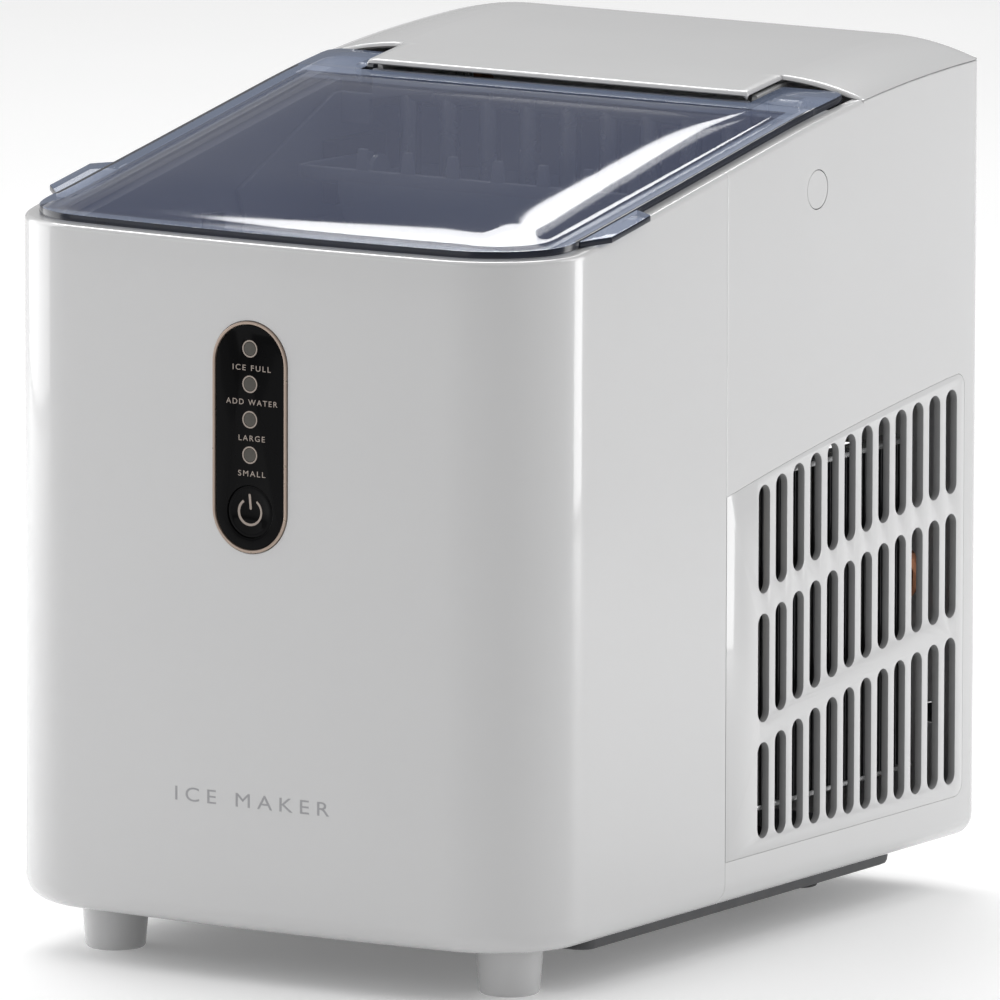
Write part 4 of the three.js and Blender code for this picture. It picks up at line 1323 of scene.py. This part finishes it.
def make_basket():
    outer = bevelled(prism("outer", plan_outline(25, 144, 6), upright, 138, 238), 3, 4)
    lip = prism("lip", plan_outline(24.6, 144.4, 6.4), upright, 234.5, 237.6)
    basket = cut(outer, lip, "UNION")
    basket = cut(basket, bevelled(prism("room", plan_outline(27, 142, 5), upright, 140, 260), 2, 4))
    slot = prism("slot", stadium(5, 68, 0, 192, 10), facing_part, -15, 15)
    floor_slot = prism("slot", stadium(5, 52, 0, 0, 10), upright_part, -10, 10)
    columns = [i * 18.5 for i in range(-3, 4)]
    basket = cut(basket, copies(slot, [at(x, 143, 0) for x in columns], look["smoked_clear"]))
    basket = cut(basket, copies(floor_slot, [at(x, 86, 139) for x in columns], look["smoked_clear"]))
    leg = prism("leg", oblong((-5, 5), (-5, 5), 2), upright_part, 114.5, 138.8)
    legs = copies(leg, [at(s * 70, behind, 0) for s in (-1, 1) for behind in (53, 131)],
                  look["smoked_clear"])
    piece("ice_basket", together("ice_basket", [basket, legs]), look["smoked_clear"], body="ice_basket",
          stands_for=["ice_basket"])


# ---- cooling side ----
def make_condenser():
    fin = bevelled(prism("fin", oblong((-4.4, 4.4), (48, 162)), facing_part, -0.16, 0.16), 0.04, 1)
    fins = copies(fin, [at(98, 164.6 + 2.15 * i, 0) for i in range(48)], look["fin_aluminium"])
    piece("condenser_fins", fins, look["fin_aluminium"], stands_for=["condenser"])
    frame = [bevelled(block("rail", (93, 103), (160, 270), z), 0.4) for z in ((46, 48), (162, 164))]
    frame += [bevelled(block("end", (93.2, 102.8), behind, (48, 162)), 0.3)
              for behind in ((162.2, 163.4), (267.2, 268.4))]
    piece("condenser_frame", together("frame", frame), look["bright_steel"])
    rows = [54 + 12.8 * i for i in range(9)]
    run = []
    for i, z in enumerate(rows):
        ends = (166, 264.5) if i % 2 == 0 else (264.5, 166)
        run.append((98, ends[0], z))
        run.append((98, ends[1], z))
    piece("condenser_coil", pipe(run, 2.2, smooth=False), look["copper"])


def make_fan():
    frame = bevelled(prism("frame", oblong((163, 267), (53, 157), 6), across, 68, 92.4), 0.8, 2, 50)
    frame = cut(frame, prism("bore", disc(49, *FAN, 96), across, 60, 100))
    parts = [spun("boss", [(0, 68), (16.6, 68), (17, 68.4), (17, 70.5), (0, 70.5)], across, *FAN, 64)]
    strut = prism("strut", oblong((-3, 3), (-51, 51)), sideways_part, -1.25, 1.25)
    parts.append(copies(strut, [at(69.25, *FAN)] * 3, look["dark_plastic"],
                        turns=[(math.pi * i / 3, 0, 0) for i in range(3)]))
    for part in parts:
        frame = cut(frame, part, "UNION")
    frame = cut(frame, prism("hole", disc(2.8, *FAN, 32), across, 60, 100))
    piece("fan_frame", frame, look["dark_plastic"], stands_for=["fan_frame"])

    hub = spun("hub", [(0, 72.5), (14.2, 72.5), (15, 73.3), (15, 83), (13.5, 86), (0, 86.5)], across, *FAN,
               64)
    rings = []
    for i in range(9):
        radius = 12 + 34 * i / 8
        twist = 0.95 - 0.45 * i / 8
        wide = 15 + 9 * math.sin(math.pi * min(1.0, 0.2 + i / 9))
        ring = []
        for along, thick in ((-0.5, 0), (-0.25, 0.7), (0.1, 0.8), (0.5, 0), (0.1, -0.5), (-0.25, -0.5)):
            bent = thick + 1.6 * (0.25 - along * along) * 4
            ring.append(Vector((along * wide * math.sin(twist) * 0.8 + bent * math.cos(twist),
                                along * wide * math.cos(twist) - bent * math.sin(twist) + 0.1
                                * (radius - 12), radius)) * MM)
        rings.append(ring)
    blade = loft("blade", rings)
    blades = copies(blade, [at(79.5, *FAN)] * 7, look["dark_plastic"],
                    turns=[(2 * math.pi * i / 7, 0, 0) for i in range(7)])
    piece("fan", together("fan", [hub, blades]), look["dark_plastic"], body="fan", stands_for=["fan"])


def make_compressor():
    shell = [(0, 30), (22, 30.3), (34, 33), (41, 38), (43.6, 44), (44, 52), (44, 95), (44, 95.4),
             (44, 99.6), (44, 100),
             (44, 120), (43, 130), (40, 138.5), (34, 145), (24, 149.6), (12, 151.6), (0, 152)]
    piece("compressor", spun("compressor", shell, upright, *COMPRESSOR, 72), look["black_paint"],
          stands_for=["compressor"],
          angle=40)
    grommet = [(0, 15.9), (7.4, 15.9), (8, 16.5), (8, 18.6), (7.2, 19.6), (6, 21.4), (7.2, 23.2),
               (8, 24.2), (8, 26.3),
               (7.4, 26.9), (0, 26.9)]
    model = spun("grommet", grommet, upright_part, 0, 0, 36)
    places = [at(COMPRESSOR[0] + side * 42, COMPRESSOR[1] + along, 0) for side,
              along in ((-1, -36), (1, -36), (-1, 24), (1, 24))]
    piece("compressor_grommets", copies(model, places, look["rubber_black"]), look["rubber_black"],
          stands_for=[f"compressor_grommet_{i}" for i in range(1, 5)])


# ---- nodes kept from the frame get the same finishes ----
def finish_kept_nodes():
    for part in frame["record"]["subparts"]:
        node = frame["nodes"][part["node"]]
        node.data.materials.clear()
        node.data.materials.append(look[part["material_slot"]])


make_lid()
make_panel()
make_feet()
make_base()
make_fasteners()
make_tank()
make_shroud()
make_evaporator()
make_tray()
make_pusher()
make_basket()
make_condenser()
make_fan()
make_compressor()
finish_kept_nodes()


# ---- studio ----
def softbox(name, azimuth, elevation, distance, size, radiance, target=(0.0, 0.0, 0.15), glint=False):
    """A rectangular light facing the target; azimuth runs from the front towards the right.

    A glint light shows in reflections only and does not brighten the paint.
    """
    away = direction(azimuth, elevation)
    light = bpy.data.lights.new(name, "AREA")
    light.shape = "RECTANGLE"
    light.size, light.size_y = size
    light.energy = radiance * math.pi * size[0] * size[1]
    thing = bpy.data.objects.new(name, light)
    thing.visible_diffuse = not glint
    thing.location = Vector(target) + away * distance
    thing.rotation_euler = away.to_track_quat("Z", "Y").to_euler()
    bpy.context.scene.collection.objects.link(thing)


def build_studio():
    outline = [(-12, -12), (12, -12), (12, 12), (-12, 12)]
    floor = object_of("floor", mesh_of("floor", [(x, y, 0.0) for x, y in outline], [(0, 1, 2, 3)]))
    floor.data.materials.append(look["floor_pale"])
    world = bpy.data.worlds.new("studio")
    world.use_nodes = True
    ground = world.node_tree.nodes["Background"]
    ground.inputs["Color"].default_value = (1.0, 1.0, 1.0, 1.0)
    ground.inputs["Strength"].default_value = 0.45
    bpy.context.scene.world = world
    softbox("key_softbox", -134.5, 51, 3.0, (2.0, 0.95), 4)
    softbox("key_glint", -134.5, 51, 2.98, (2.0, 0.95), 5, glint=True)
    softbox("overhead", 0, 90, 3.1, (5.0, 5.0), 0.5)
    softbox("front_fill", -25, 18, 3.0, (3.0, 1.6), 0.8)
    softbox("right_strip", 119, 0, 1.02, (0.24, 1.5), 5.6, (0.0, 0.0, 0.76))
    softbox("left_softbox", -85, 0, 1.27, (0.95, 1.5), 2.3, (0.0, 0.0, 0.76))
    bpy.context.scene.view_settings.view_transform = "Standard"


build_studio()
